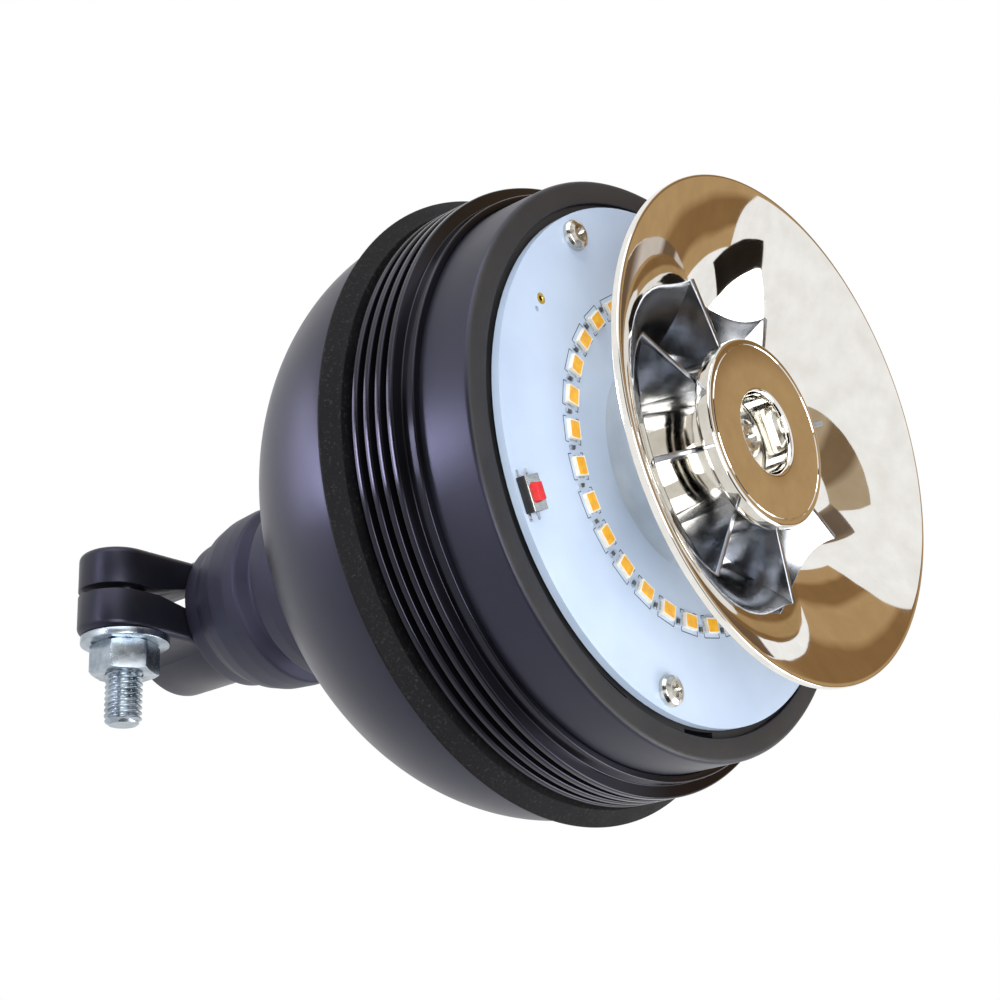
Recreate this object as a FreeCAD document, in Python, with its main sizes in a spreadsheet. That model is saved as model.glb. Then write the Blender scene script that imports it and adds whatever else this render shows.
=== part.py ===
import FreeCAD, Part
import Sketcher
import math
import os
import re

# A rotating beacon for a 24 mm pole. Z runs up along the beacon's axis, from 0 at the mouth of the
# pole socket. The clamp's ears point along -Y and its bolt lies along X, with the nut at +X.

Vector = FreeCAD.Vector
Z_AXIS = Vector(0, 0, 1)

SIZES = {
    # pole clamp: a split tube with two ears
    "pole_radius": 12.0,          # the pole is 24 mm across
    "pole_gap": 0.1,              # gap all round the pole
    "clamp_wall": 2.3,
    "clamp_height": 21.5,         # from the mouth to the neck's lower rim
    "pole_depth": 26.2,           # how far the pole goes in
    "pole_stop": 0.6,             # ledge that stops the pole
    "carrier_height": 4.8,        # room for the contact carrier above the ledge
    "clamp_end_wall": 3.0,
    "wire_hole_radius": 5.0,
    "slot_half": 0.7,             # half of the slot between the ears' tips
    "slot_half_inner": 2.3,       # and where the slot meets the tube
    "slot_taper_start": 15.0,
    "slot_taper_end": 23.0,
    "ear_thickness": 8.3,
    "ear_tip": 36.2,
    "ear_bottom": 5.0,
    "ear_flat": 0.5,              # straight length between the two rounded corners of an ear
    "ear_edge": 1.6,              # rounding of the ears' outer edges
    "ear_root": 6.0,              # hollow between an ear and the tube
    # clamp bolt, washer and nut, all M8
    "bolt_offset": 25.6,
    "bolt_radius": 4.0,
    "bolt_gap": 0.25,
    "bolt_end": 28.0,
    "bolt_chamfer": 0.9,
    "hex_flats": 13.0,
    "hex_gap": 0.2,
    "head_height": 5.3,
    "head_sink": 0.3,
    "nut_height": 6.5,
    "nut_chamfer": 0.7,
    "thread_gap": 0.05,
    "face_gap": 0.03,             # between faces that turn or slide on each other
    "washer_radius": 9.5,
    "washer_thickness": 1.6,
    # contacts in the socket
    "carrier_gap": 0.15,
    "carrier_stem": 5.5,
    "plunger_radius": 2.5,
    "plunger_gap": 0.05,
    "plunger_shoulder": 3.4,
    "plunger_lip": 1.5,
    "plunger_reach": 0.5,          # how far the tip stands out of its carrier
    "shoulder_height": 1.5,
    "spring_wire": 0.6,
    "spring_radius": 2.8,
    "spring_pitch": 1.35,
    "carrier_roof": 1.0,
    "lead_hole": 1.0,
    "earth_thickness": 0.6,
    "earth_inner": 8.0,
    # flexible neck
    "rim_radius": 16.5,
    "rim_height": 4.5,
    "rim_top_radius": 16.9,
    "swell_start": 3.5,
    "rim_flare": 6.0,
    "swell_curve": 30.0,
    "swell_radius": 18.9,
    "body_radius": 20.0,
    "body_rise": 9.0,
    "waist_z": 44.5,
    "waist_radius": 17.3,
    "waist_half": 2.6,
    "collar_radius": 20.4,
    "neck_top": 66.0,
    "neck_top_radius": 21.3,
    "channel_gap": 0.2,
    # stub that joins the neck to the lower shell
    "stub_flange": 14.0,
    "stub_flange_height": 4.0,
    "stub_gap": 0.1,
    "stub_radius": 8.0,
    "stub_hole_gap": 0.2,
    "stub_bore": 4.0,
    "stub_over_nut": 4.0,
    "neck_washer_radius": 13.0,
    "neck_washer_thickness": 1.5,
    "neck_nut_flats": 24.0,
    "neck_nut_height": 7.0,
    # lower shell: half an ellipsoid with a flat seat at its pole
    "shell_radius": 59.8,          # the size that the head's other rings follow
    "shell_drop": 44.1,
    "shell_wall": 2.6,
    "seat_rise": 1.9,
    "rim_straight": 3.3,
    "shell_boss_radius": 3.6,
    "shell_boss_inset": 11.8,
    "shell_boss_top": 4.5,        # below the rim
    "shell_boss_length": 24.0,
    # upper half
    "skirt_gap": 0.2,
    "skirt_depth": 4.5,
    "flange_lap": 0.4,
    "flange_thickness": 1.2,
    "band_height": 3.1,
    "band_foot": 0.3,
    "band_overhang": 2.4,
    "band_slope": 2.2,
    "band_edge": 0.5,
    "collar_height": 14.7,
    "crest_inset": 0.4,
    "rib_depth": 2.4,
    "collar_wall": 1.4,
    "rib_count": 4,
    "rib_pitch": 2.75,
    "rib_first": 2.95,
    "rib_half": 0.85,
    "rib_round": 0.45,
    "barrel_wall": 3.0,
    "barrel_height": 11.1,
    "collar_gap": 0.1,
    "lip_round": 1.0,
    "lip_width": 4.6,
    "ledge_drop": 1.2,
    "ledge_width": 3.9,
    "ledge_thickness": 2.5,
    "floor_thickness": 2.5,
    "floor_width": 14.4,
    "notch_gap": 0.15,
    "notch_angle": 9.5,
    "notch_offset": 14.2,
    "wide_notch_angle": 21.0,
    "wide_notch_middle": 298.5,
    "housing_screw_radius": 1.5,
    "housing_screw_head": 2.9,
    "housing_screw_head_height": 2.0,
    "housing_screw_length": 16.0,
    "housing_screw_angle": 40.0,
    # LED board
    "board_gap": 1.4,
    "board_thickness": 1.6,
    "board_sink": 0.2,
    "board_boss_radius": 4.0,
    "board_boss_height": 13.0,
    "board_screw_inset": 3.9,
    "board_screw_middle": 282.95,
    "board_screw_half_angle": 66.35,
    "board_screw_radius": 1.45,
    "board_screw_head": 2.9,
    "board_screw_head_height": 1.9,
    "board_screw_length": 10.0,
    "screw_gap": 0.05,
    "recess_width": 0.9,
    "recess_length": 3.2,
    "recess_depth": 1.1,
    "led_count": 30,
    "led_ring": 30.8,
    "led_angle": 10.45,
    "led_long": 3.5,
    "led_wide": 2.8,
    "led_height": 0.75,
    "led_wall": 0.35,
    "led_window_depth": 0.45,
    "pad_inset": 6.9,
    "pad_hole": 0.55,
    "pad_angle": 241.1,
    "peg_hole": 0.5,
    "peg_angle": 244.7,
    # mode switch
    "switch_angle": 292.0,
    "switch_inset": 2.5,
    "switch_long": 6.2,
    "switch_wide": 3.6,
    "switch_height": 1.7,
    "cover_thickness": 0.3,
    "button_long": 3.1,
    "button_wide": 1.7,
    "button_rise": 1.0,           # above the cover
    "button_root": 0.8,           # below the cover, in the switch body
    "button_gap": 0.1,
    "button_travel": 0.25,
    "button_flange": 0.35,
    # reflector
    "foot_radius": 21.3,
    "reflector_inset": 2.5,
    "reflector_height": 23.3,
    "reflector_wall": 1.6,
    "rim_chamfer": 0.2,
    "rim_land": 0.5,
    "reflector_bow": 44.2,
    "bowl_floor_radius": 20.3,
    "hub_foot_radius": 16.5,
    "hub_radius": 15.0,
    "hub_flange_radius": 17.5,
    "hub_flange_height": 3.4,
    "hub_height": 19.6,
    "hub_edge": 0.8,
    "hub_hole": 7.5,
    "hub_tube_wall": 1.6,
    "hub_wall": 1.8,
    "hub_floor": 13.0,
    "hub_floor_thickness": 2.0,
    "rib_plate": 1.0,
    "gusset_count": 8,
    "gusset_angle": 22.3,
    "gusset_tip_radius": 31.4,
    "gusset_tip_height": 14.2,
    "gusset_top": 15.9,
    "reflector_screw_radius": 1.95,
    "reflector_hole_gap": 0.2,
    "reflector_screw_head": 4.0,
    "reflector_screw_head_height": 2.4,
    "reflector_washer_radius": 6.8,
    "reflector_washer_thickness": 0.8,
    "reflector_nut_flats": 7.0,
    "reflector_nut_height": 3.2,
    "reflector_screw_spare": 1.2,
    # parts under the board
    "capacitor_radius": 5.0,
    "capacitor_height": 12.5,
    "capacitor_ring": 25.0,
    "capacitor_angle": 60.0,
    "coil_radius": 6.0,
    "coil_height": 7.0,
    "coil_angle": 150.0,
}

# radii of the head, each from the shell's by named steps
SHELL_BOSS_RING = "(shell_radius - shell_boss_inset)"
BAND_RADIUS = "(shell_radius + band_overhang)"
RIB_CREST = "(shell_radius - crest_inset)"
COLLAR_ROOT = f"({RIB_CREST} - rib_depth)"
COLLAR_BORE = f"({COLLAR_ROOT} - collar_wall)"
BARREL = f"({COLLAR_BORE} - collar_gap)"
LIP_INNER = f"({BARREL} - lip_width)"
BOARD_RADIUS = f"({LIP_INNER} - board_gap)"
BOARD_SCREW_RING = f"({BOARD_RADIUS} - board_screw_inset)"
PAD_RING = f"({BOARD_RADIUS} - pad_inset)"
SWITCH_RING = f"({BOARD_RADIUS} - switch_inset)"
REFLECTOR_RIM = f"({BOARD_RADIUS} - reflector_inset)"

# heights that follow from the sizes
EAR_CORNER = "((clamp_height - ear_bottom - ear_flat) / 2)"
CLAMP_CEILING = "(pole_depth + carrier_height)"
CLAMP_TOP = "(pole_depth + carrier_height + clamp_end_wall)"
SHELL_MIDDLE = "(neck_top - seat_rise + shell_drop)"
SHELL_RIM = f"({SHELL_MIDDLE} + rim_straight)"
FLANGE_TOP = f"({SHELL_RIM} + flange_thickness)"
BAND_TOP = f"({FLANGE_TOP} + band_height)"
COLLAR_TOP = f"({BAND_TOP} + collar_height)"
LIP_TOP = f"({COLLAR_TOP} + barrel_height)"
BOARD_UNDER = f"({LIP_TOP} - board_sink)"
BOARD_TOP = f"({BOARD_UNDER} + board_thickness)"
SWITCH_TOP = f"({BOARD_TOP} + switch_height)"
HOUSING_FLOOR = f"({SHELL_RIM} - skirt_depth)"

doc = FreeCAD.newDocument("RotatingBeacon")
sheet = doc.addObject("Spreadsheet::Sheet", "Sizes")
for row, (alias, value) in enumerate(SIZES.items(), start=1):
    sheet.set(f"A{row}", str(value))
    sheet.setAlias(f"A{row}", alias)
doc.recompute()

nodes = {}


def bound(text):
    """The text of an expression, with each size's name made a reference to the sheet."""
    return re.sub(r"[a-z]\w*", lambda m: f"Sizes.{m.group()}" if m.group() in SIZES else m.group(), text)


def number(text):
    """The value of an expression of sizes now."""
    return float(sheet.evalExpression(bound(text)))


def node(name, shape_object):
    """Keep an object as the named sub-part."""
    shape_object.Label = name
    nodes[name] = shape_object
    return shape_object


def box(length, width, height, x, y, z):
    """A box whose sizes and corner are expressions."""
    made = doc.addObject("Part::Box", "Block")
    for key, text in zip(("Length", "Width", "Height"), (length, width, height)):
        made.setExpression(key, bound(text))
    for key, text in zip("xyz", (x, y, z)):
        made.setExpression(f"Placement.Base.{key}", bound(text))
    return made


def cylinder(radius, height, x="0", y="0", z="0", along="Z", sweep=None):
    """A cylinder, or a sector of one, with its base centre at x, y, z."""
    made = doc.addObject("Part::Cylinder", "Round")
    if along == "X":
        made.Placement = FreeCAD.Placement(Vector(), FreeCAD.Rotation(Vector(0, 1, 0), 90))
    made.setExpression("Radius", bound(radius))
    made.setExpression("Height", bound(height))
    if sweep:
        made.setExpression("Angle", bound(sweep))
    for key, text in zip("xyz", (x, y, z)):
        made.setExpression(f"Placement.Base.{key}", bound(text))
    return made


def hexagon(flats, height, x="0", y="0", z="0", along="Z"):
    """A hexagonal prism, sized across its flats."""
    made = doc.addObject("Part::Prism", "Hexagon")
    if along == "X":
        made.Placement = FreeCAD.Placement(Vector(), FreeCAD.Rotation(Vector(0, 1, 0), 90))
    made.Polygon = 6
    made.setExpression("Circumradius", bound(f"({flats}) / (2 * cos(30))"))
    made.setExpression("Height", bound(height))
    for key, text in zip("xyz", (x, y, z)):
        made.setExpression(f"Placement.Base.{key}", bound(text))
    return made


def cut(base, *tools):
    made = doc.addObject("Part::Cut", "Cut")
    made.Base = base
    made.Tool = tools[0] if len(tools) == 1 else fuse(*tools)
    return made


def fuse(*parts):
    made = doc.addObject("Part::MultiFuse", "Fusion")
    made.Shapes = list(parts)
    return made


def common(base, tool):
    made = doc.addObject("Part::Common", "Shared")
    made.Base = base
    made.Tool = tool
    return made


def outline(holder, plane, corners, name):
    """A closed sketch on one of the holder's planes. Each corner is (across, up) in expressions. It may
    add the radius of an arc to the next corner, with +1 where the arc turns left and -1 where it turns
    right."""
    if holder is None:
        sketch = doc.addObject("Sketcher::SketchObject", name)
        turn = {"XY": (Z_AXIS, 0), "XZ": (Vector(1, 0, 0), 90), "YZ": (Vector(1, 1, 1), 120)}[plane]
        sketch.Placement = FreeCAD.Placement(Vector(), FreeCAD.Rotation(*turn))
    else:
        sketch = holder.newObject("Sketcher::SketchObject", name)
        origin = next(f for f in holder.Origin.OriginFeatures if f.Role == f"{plane}_Plane")
        sketch.AttachmentSupport = [(origin, "")]
        sketch.MapMode = "FlatFace"
    places = [Vector(number(c[0]), number(c[1]), 0) for c in corners]
    ends = []
    for i, corner in enumerate(corners):
        here, there = places[i], places[(i + 1) % len(places)]
        if len(corner) == 2:
            edge = sketch.addGeometry(Part.LineSegment(here, there), False)
            ends.append((edge, 1, 2))
            continue
        radius, side = number(corner[2]), corner[3]
        middle = (here + there) * 0.5
        left = Z_AXIS.cross(there - here).normalize() * side
        half = (there - here).Length / 2
        rise = math.sqrt(radius * radius - half * half)
        centre = middle + left * rise
        start, stop = (here, there) if side > 0 else (there, here)
        first = math.atan2(start.y - centre.y, start.x - centre.x)
        last = math.atan2(stop.y - centre.y, stop.x - centre.x)
        if last < first:
            last += 2 * math.pi
        circle = Part.Circle(centre, Z_AXIS, radius)
        edge = sketch.addGeometry(Part.ArcOfCircle(circle, first, last), False)
        ends.append((edge, 1, 2) if side > 0 else (edge, 2, 1))
        size = sketch.addConstraint(Sketcher.Constraint("Radius", edge, radius))
        sketch.setExpression(f"Constraints[{size}]", bound(corner[2]))
    for i, corner in enumerate(corners):
        edge, begin, end = ends[i]
        following = ends[(i + 1) % len(corners)]
        sketch.addConstraint(Sketcher.Constraint("Coincident", edge, end, following[0], following[1]))
        for kind, text in (("DistanceX", corner[0]), ("DistanceY", corner[1])):
            size = sketch.addConstraint(Sketcher.Constraint(kind, -1, 1, edge, begin, number(text)))
            if re.search("[a-z]", text):
                sketch.setExpression(f"Constraints[{size}]", bound(text))
    return sketch


def turned(name, corners):
    """A body turned about Z from its (radius, height) outline."""
    body = doc.addObject("PartDesign::Body", name)
    sketch = outline(body, "XZ", corners, name + "_outline")
    turn = body.newObject("PartDesign::Revolution", name + "_turn")
    turn.Profile = sketch
    turn.ReferenceAxis = (sketch, ["V_Axis"])
    turn.Angle = 360
    sketch.Visibility = False
    return body


def plate(name, plane, corners, thickness, symmetric=False):
    """A flat plate: an outline pulled out along its plane's normal."""
    pulled = doc.addObject("Part::Extrusion", name)
    pulled.Base = outline(None, plane, corners, name + "_outline")
    pulled.DirMode = "Normal"
    pulled.setExpression("LengthFwd", bound(thickness))
    pulled.Symmetric = symmetric
    pulled.Solid = True
    return pulled


def ring(name, source, angles):
    """Copies of a piece, turned about Z to the given angles."""
    doc.recompute()
    copies = []
    for angle in angles:
        copy = source.Shape.copy()
        copy.rotate(Vector(), Z_AXIS, angle)
        copies.append(copy)
    made = doc.addObject("Part::Feature", name)
    made.Shape = Part.makeCompound(copies)
    return made


def rounded(name, source, radius, wanted):
    """The source with the edges that wanted() picks rounded."""
    doc.recompute()
    size = number(radius)
    made = doc.addObject("Part::Fillet", name)
    made.Base = source
    made.Edges = [(i, size, size) for i, e in enumerate(source.Shape.Edges, start=1) if wanted(e)]
    return made


def turn_to(shape_object, angle):
    """Turn an object about Z by an angle given as an expression."""
    shape_object.Placement = FreeCAD.Placement(Vector(), FreeCAD.Rotation(Z_AXIS, 1))
    shape_object.setExpression("Placement.Rotation.Angle", bound(angle))
    return shape_object


def screw(name, radius, head, head_height, length, seat):
    """A pan-head screw with a cross recess, its head resting on the height called seat."""
    half = f"({head_height} * 0.5)"
    blank = turned(name + "_blank", [
        ("0", f"{seat} - {length}"),
        (f"{radius} * 0.6", f"{seat} - {length}"),
        (radius, f"{seat} - {length} + {radius}"),
        (radius, seat),
        (head, seat),
        (head, f"{seat} + {half}", f"{head} * 0.55", 1),
        (f"{head} * 0.72", f"{seat} + {head_height}"),
        ("0", f"{seat} + {head_height}"),
    ])
    top = f"{seat} + {head_height} - recess_depth"
    arms = [
        box("recess_length", "recess_width", "recess_depth", "-recess_length / 2", "-recess_width / 2", top),
        box("recess_width", "recess_length", "recess_depth", "-recess_width / 2", "-recess_length / 2", top),
    ]
    return cut(blank, *arms)


def moved(name, source, x):
    """A copy of a piece moved along X to the distance given as an expression."""
    doc.recompute()
    copy = source.Shape.copy()
    copy.translate(Vector(number(x), 0, 0))
    made = doc.addObject("Part::Feature", name)
    made.Shape = copy
    return made


# ---- pole clamp ----

def make_pole_clamp():
    bore = "(pole_radius + pole_gap)"
    outer = f"({bore} + clamp_wall)"
    tube = turned("ClampTube", [
        (bore, "0"), (outer, "0"), (outer, CLAMP_TOP), ("wire_hole_radius", CLAMP_TOP),
        ("wire_hole_radius", CLAMP_CEILING), (f"{bore} - pole_stop", CLAMP_CEILING),
        (f"{bore} - pole_stop", "pole_depth"), (bore, "pole_depth"),
    ])
    half = "(slot_half + ear_thickness)"
    side_view = plate("EarSides", "YZ", [
        ("0", "ear_bottom"),
        ("0", "clamp_height"),
        (f"-ear_tip + {EAR_CORNER}", "clamp_height", EAR_CORNER, 1),
        ("-ear_tip", f"clamp_height - {EAR_CORNER}"),
        ("-ear_tip", f"ear_bottom + {EAR_CORNER}", EAR_CORNER, 1),
        (f"-ear_tip + {EAR_CORNER}", "ear_bottom"),
    ], "4 * ear_thickness", symmetric=True)
    hollow_y = f"sqrt(({outer} + ear_root)^2 - ({half} + ear_root)^2)"
    share = f"{outer} / ({outer} + ear_root)"
    plan = plate("EarPlan", "XY", [
        (f"-{half}", "-ear_tip - 1"),
        (half, "-ear_tip - 1"),
        (half, f"-{hollow_y}", "ear_root", -1),
        (f"({half} + ear_root) * {share}", f"-{hollow_y} * {share}"),
        ("0", "0"),
        (f"-({half} + ear_root) * {share}", f"-{hollow_y} * {share}", "ear_root", -1),
        (f"-{half}", f"-{hollow_y}"),
    ], "clamp_height + 1")
    reach, blend = number(half), number(hollow_y)

    def on_outer_edge(edge):
        box_of = edge.BoundBox
        flat = box_of.XLength < 0.01 and abs(abs(box_of.Center.x) - reach) < 0.01
        return flat and box_of.Center.y < -blend - 0.01

    eased = rounded("EarsEased", common(plan, side_view), "ear_edge", on_outer_edge)
    joined = fuse(tube, cut(eased, cylinder(bore, "pole_depth")))
    slot = plate("Slot", "XY", [
        ("-slot_half", "-ear_tip - clamp_wall"), ("slot_half", "-ear_tip - clamp_wall"),
        ("slot_half", "-slot_taper_end"), ("slot_half_inner", "-slot_taper_start"),
        ("slot_half_inner", "0"), ("-slot_half_inner", "0"),
        ("-slot_half_inner", "-slot_taper_start"), ("-slot_half", "-slot_taper_end"),
    ], "clamp_height")
    bolt_hole = cylinder("bolt_radius + bolt_gap", "4 * ear_thickness", "-2 * ear_thickness",
                         "-bolt_offset", "(ear_bottom + clamp_height) / 2", "X")
    pocket = hexagon("hex_flats + hex_gap", "head_height + head_sink + 1", f"-{half} - 1",
                     "-bolt_offset", "(ear_bottom + clamp_height) / 2", "X")
    node("pole_clamp", cut(joined, slot, bolt_hole, pocket))


def make_bolt_set():
    half = "(slot_half + ear_thickness)"
    height = "(ear_bottom + clamp_height) / 2"
    head = hexagon("hex_flats", "head_height", f"-{half} + head_sink", "-bolt_offset", height, "X")
    start = f"(-{half} + head_sink + head_height)"
    shank = cylinder("bolt_radius", f"bolt_end - bolt_chamfer - {start}", start, "-bolt_offset", height, "X")
    tip = doc.addObject("Part::Cone", "BoltTip")
    tip.Placement = FreeCAD.Placement(Vector(), FreeCAD.Rotation(Vector(0, 1, 0), 90))
    tip.setExpression("Radius1", bound("bolt_radius"))
    tip.setExpression("Radius2", bound("bolt_radius - bolt_chamfer"))
    tip.setExpression("Height", bound("bolt_chamfer"))
    for key, text in zip("xyz", ("bolt_end - bolt_chamfer", "-bolt_offset", height)):
        tip.setExpression(f"Placement.Base.{key}", bound(text))
    node("clamp_bolt", fuse(head, shank, tip))

    rim = cylinder("washer_radius", "washer_thickness", half, "-bolt_offset", height, "X")
    hole = cylinder("bolt_radius + bolt_gap", "washer_thickness", half, "-bolt_offset", height, "X")
    node("clamp_washer", cut(rim, hole))

    seat = f"({half} + washer_thickness + face_gap)"
    corners = "(hex_flats / (2 * cos(30)))"
    prism = hexagon("hex_flats", "nut_height", seat, "-bolt_offset", height, "X")
    barrel = turned("NutEnvelope", [
        ("0", "0"), (f"{corners} - nut_chamfer", "0"), (corners, "nut_chamfer * 0.6"),
        (corners, "nut_height - nut_chamfer * 0.6"), (f"{corners} - nut_chamfer", "nut_height"),
        ("0", "nut_height"),
    ])
    barrel.Placement = FreeCAD.Placement(Vector(), FreeCAD.Rotation(Vector(0, 1, 0), 90))
    for key, text in zip("xyz", (seat, "-bolt_offset", height)):
        barrel.setExpression(f"Placement.Base.{key}", bound(text))
    bore = cylinder("bolt_radius + thread_gap", "nut_height", seat, "-bolt_offset", height, "X")
    node("clamp_nut", cut(common(prism, barrel), bore))


# ---- contacts in the socket ----

def make_contacts():
    seat = "(pole_radius + pole_gap - pole_stop - carrier_gap)"
    stem = "(wire_hole_radius - carrier_gap)"
    stem_top = f"({CLAMP_CEILING} + carrier_stem)"
    chamber = "(plunger_shoulder + plunger_gap)"
    base = "(pole_depth + earth_thickness + 0.1)"
    lip = f"({base} + plunger_lip)"
    node("contact_carrier", turned("contact_carrier", [
        (f"plunger_radius + plunger_gap", base), (seat, base), (seat, CLAMP_CEILING), (stem, CLAMP_CEILING),
        (stem, stem_top), ("lead_hole", stem_top), ("lead_hole", f"{stem_top} - carrier_roof"),
        (chamber, f"{stem_top} - carrier_roof"), (chamber, lip), ("plunger_radius + plunger_gap", lip),
    ]))
    node("centre_contact", turned("centre_contact", [
        ("0", f"{base} - plunger_reach"),
        ("plunger_radius * 0.6", f"{base} - plunger_reach", "plunger_radius * 0.7", 1),
        ("plunger_radius", f"{base} - plunger_reach + plunger_radius * 0.6"),
        ("plunger_radius", lip), ("plunger_shoulder", lip),
        ("plunger_shoulder", f"{lip} + shoulder_height"), ("0", f"{lip} + shoulder_height"),
    ]))
    foot = f"({lip} + shoulder_height)"
    room = f"({stem_top} - carrier_roof - {foot})"
    helix = doc.addObject("Part::Helix", "SpringLine")
    helix.SegmentLength = 1
    helix.setExpression("Pitch", bound("spring_pitch"))
    helix.setExpression("Height", bound(f"{room} - spring_wire"))
    helix.setExpression("Radius", bound("spring_radius - spring_wire / 2"))
    helix.setExpression("Placement.Base.z", bound(f"{foot} + spring_wire / 2"))
    section = doc.addObject("Part::Circle", "SpringWire")
    section.Placement = FreeCAD.Placement(Vector(), FreeCAD.Rotation(Vector(1, 0, 0), 90))
    section.setExpression("Radius", bound("spring_wire / 2"))
    section.setExpression("Placement.Base.x", bound("spring_radius - spring_wire / 2"))
    section.setExpression("Placement.Base.z", bound(f"{foot} + spring_wire / 2"))
    spring = doc.addObject("Part::Sweep", "ContactSpring")
    spring.Sections = [section]
    spring.Spine = (helix, [])
    spring.Solid = True
    spring.Frenet = True
    node("contact_spring", spring)
    node("earth_ring", turned("earth_ring", [
        ("earth_inner", "pole_depth + 0.1"), (seat, "pole_depth + 0.1"), (seat, base), ("earth_inner", base),
    ]))


# ---- flexible neck and the stub in its top ----

def make_neck():
    cuff = "(pole_radius + pole_gap + clamp_wall)"
    channel = "(wire_hole_radius + channel_gap)"
    rim_top = "(clamp_height + rim_height)"
    swell = f"({rim_top} + swell_start)"
    full = f"({swell} + body_rise)"
    pocket = "(neck_top - stub_flange_height)"
    node("flexible_neck", turned("flexible_neck", [
        (cuff, "clamp_height"), ("rim_radius", "clamp_height"), ("rim_top_radius", rim_top, "rim_flare", -1),
        ("swell_radius", swell, "swell_curve", 1), ("body_radius", full),
        ("body_radius", "waist_z - waist_half", "waist_half * 1.3", -1),
        ("waist_radius", "waist_z - waist_half * 0.25"), ("waist_radius", "waist_z + waist_half * 0.25",
                                                          "waist_half * 1.4", -1),
        ("collar_radius", "waist_z + waist_half * 1.1"), ("neck_top_radius", "neck_top"),
        ("stub_flange + stub_gap", "neck_top"), ("stub_flange + stub_gap", pocket),
        (channel, pocket), (channel, CLAMP_TOP), (cuff, CLAMP_TOP),
    ]))
    nut_top = "(neck_top + shell_wall + neck_washer_thickness + neck_nut_height)"
    node("neck_stub", turned("neck_stub", [
        ("stub_bore", f"{pocket} + stub_gap"), ("stub_flange", f"{pocket} + stub_gap"),
        ("stub_flange", "neck_top"), ("stub_radius", "neck_top"),
        ("stub_radius", f"{nut_top} + stub_over_nut"), ("stub_bore", f"{nut_top} + stub_over_nut"),
    ]))
    washer_base = "(neck_top + shell_wall)"
    hole = "(stub_radius + thread_gap)"
    node("neck_washer", turned("neck_washer", [
        (hole, washer_base), ("neck_washer_radius", washer_base),
        ("neck_washer_radius", f"{washer_base} + neck_washer_thickness"),
        (hole, f"{washer_base} + neck_washer_thickness"),
    ]))
    nut_base = f"({washer_base} + neck_washer_thickness)"
    prism = hexagon("neck_nut_flats", "neck_nut_height", z=nut_base)
    node("neck_nut", cut(prism, cylinder(hole, "neck_nut_height", z=nut_base)))


# ---- lower shell ----

def half_ellipsoid(inset):
    made = doc.addObject("Part::Ellipsoid", "Bowl")
    made.setExpression("Radius1", bound(f"shell_drop - {inset}"))
    made.setExpression("Radius2", bound(f"shell_radius - {inset}"))
    made.setExpression("Radius3", bound(f"shell_radius - {inset}"))
    made.Angle1 = -90
    made.Angle2 = 0
    made.setExpression("Placement.Base.z", bound(SHELL_MIDDLE))
    return made


def housing_screw_angles():
    return [number("housing_screw_angle") + 120 * i for i in range(3)]


def make_lower_shell():
    rim = cylinder("shell_radius", "rim_straight", z=SHELL_MIDDLE)
    solid = fuse(half_ellipsoid("0"), rim)
    slab = "4 * shell_radius"
    below = box(slab, slab, "seat_rise + shell_wall", "-2 * shell_radius", "-2 * shell_radius",
                "neck_top - seat_rise - shell_wall")
    inside = fuse(half_ellipsoid("shell_wall"),
                  cylinder("shell_radius - shell_wall", "2 * rim_straight", z=SHELL_MIDDLE))
    floor = box(slab, slab, "seat_rise + 2 * shell_wall", "-2 * shell_radius", "-2 * shell_radius",
                "neck_top - seat_rise - shell_wall")
    void = cut(inside, floor)
    hole = cylinder("stub_radius + stub_hole_gap", "4 * shell_wall", z="neck_top - shell_wall")
    shell = cut(solid, below, void, hole)
    top = f"({SHELL_RIM} - shell_boss_top)"
    boss = cylinder("shell_boss_radius", "shell_boss_length", SHELL_BOSS_RING, "0",
                    f"{top} - shell_boss_length")
    drill = cylinder("housing_screw_radius + screw_gap", "housing_screw_length", SHELL_BOSS_RING, "0",
                     f"{top} - housing_screw_length")
    bosses = common(ring("ShellBosses", boss, housing_screw_angles()), half_ellipsoid("shell_wall / 2"))
    node("lower_shell", cut(fuse(shell, bosses), ring("ShellDrills", drill, housing_screw_angles())))


# ---- upper half: band, collar and lamp housing ----

def make_sealing_band():
    node("sealing_band", turned("sealing_band", [
        (COLLAR_BORE, FLANGE_TOP), (BAND_RADIUS, FLANGE_TOP), (BAND_RADIUS, f"{FLANGE_TOP} + band_foot"),
        (f"{BAND_RADIUS} - band_slope", f"{BAND_TOP} - band_edge"),
        (f"{BAND_RADIUS} - band_slope - band_edge", BAND_TOP), (COLLAR_BORE, BAND_TOP),
    ]))


def make_ribbed_collar():
    corners = [(COLLAR_BORE, BAND_TOP), (COLLAR_ROOT, BAND_TOP)]
    for i in range(int(number("rib_count"))):
        middle = f"({BAND_TOP} + rib_first + {i} * rib_pitch)"
        corners += [
            (COLLAR_ROOT, f"{middle} - rib_half"),
            (f"{RIB_CREST} - rib_round", f"{middle} - rib_half", "rib_round", 1),
            (RIB_CREST, f"{middle} - rib_half + rib_round"),
            (RIB_CREST, f"{middle} + rib_half - rib_round", "rib_round", 1),
            (f"{RIB_CREST} - rib_round", f"{middle} + rib_half"),
            (COLLAR_ROOT, f"{middle} + rib_half"),
        ]
    corners += [(COLLAR_ROOT, COLLAR_TOP), (COLLAR_BORE, COLLAR_TOP)]
    node("ribbed_collar", turned("ribbed_collar", corners))


def board_screw_angles():
    middle, half = number("board_screw_middle"), number("board_screw_half_angle")
    return [middle - half, middle + half, middle + 180]


def sector(radius_in, radius_out, base, height, sweep, angle):
    """A curved block between two radii, centred on an angle."""
    block = cut(cylinder(radius_out, height, z=base, sweep=sweep), cylinder(radius_in, height, z=base))
    return turn_to(block, f"{angle} - {sweep} / 2")


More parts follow.
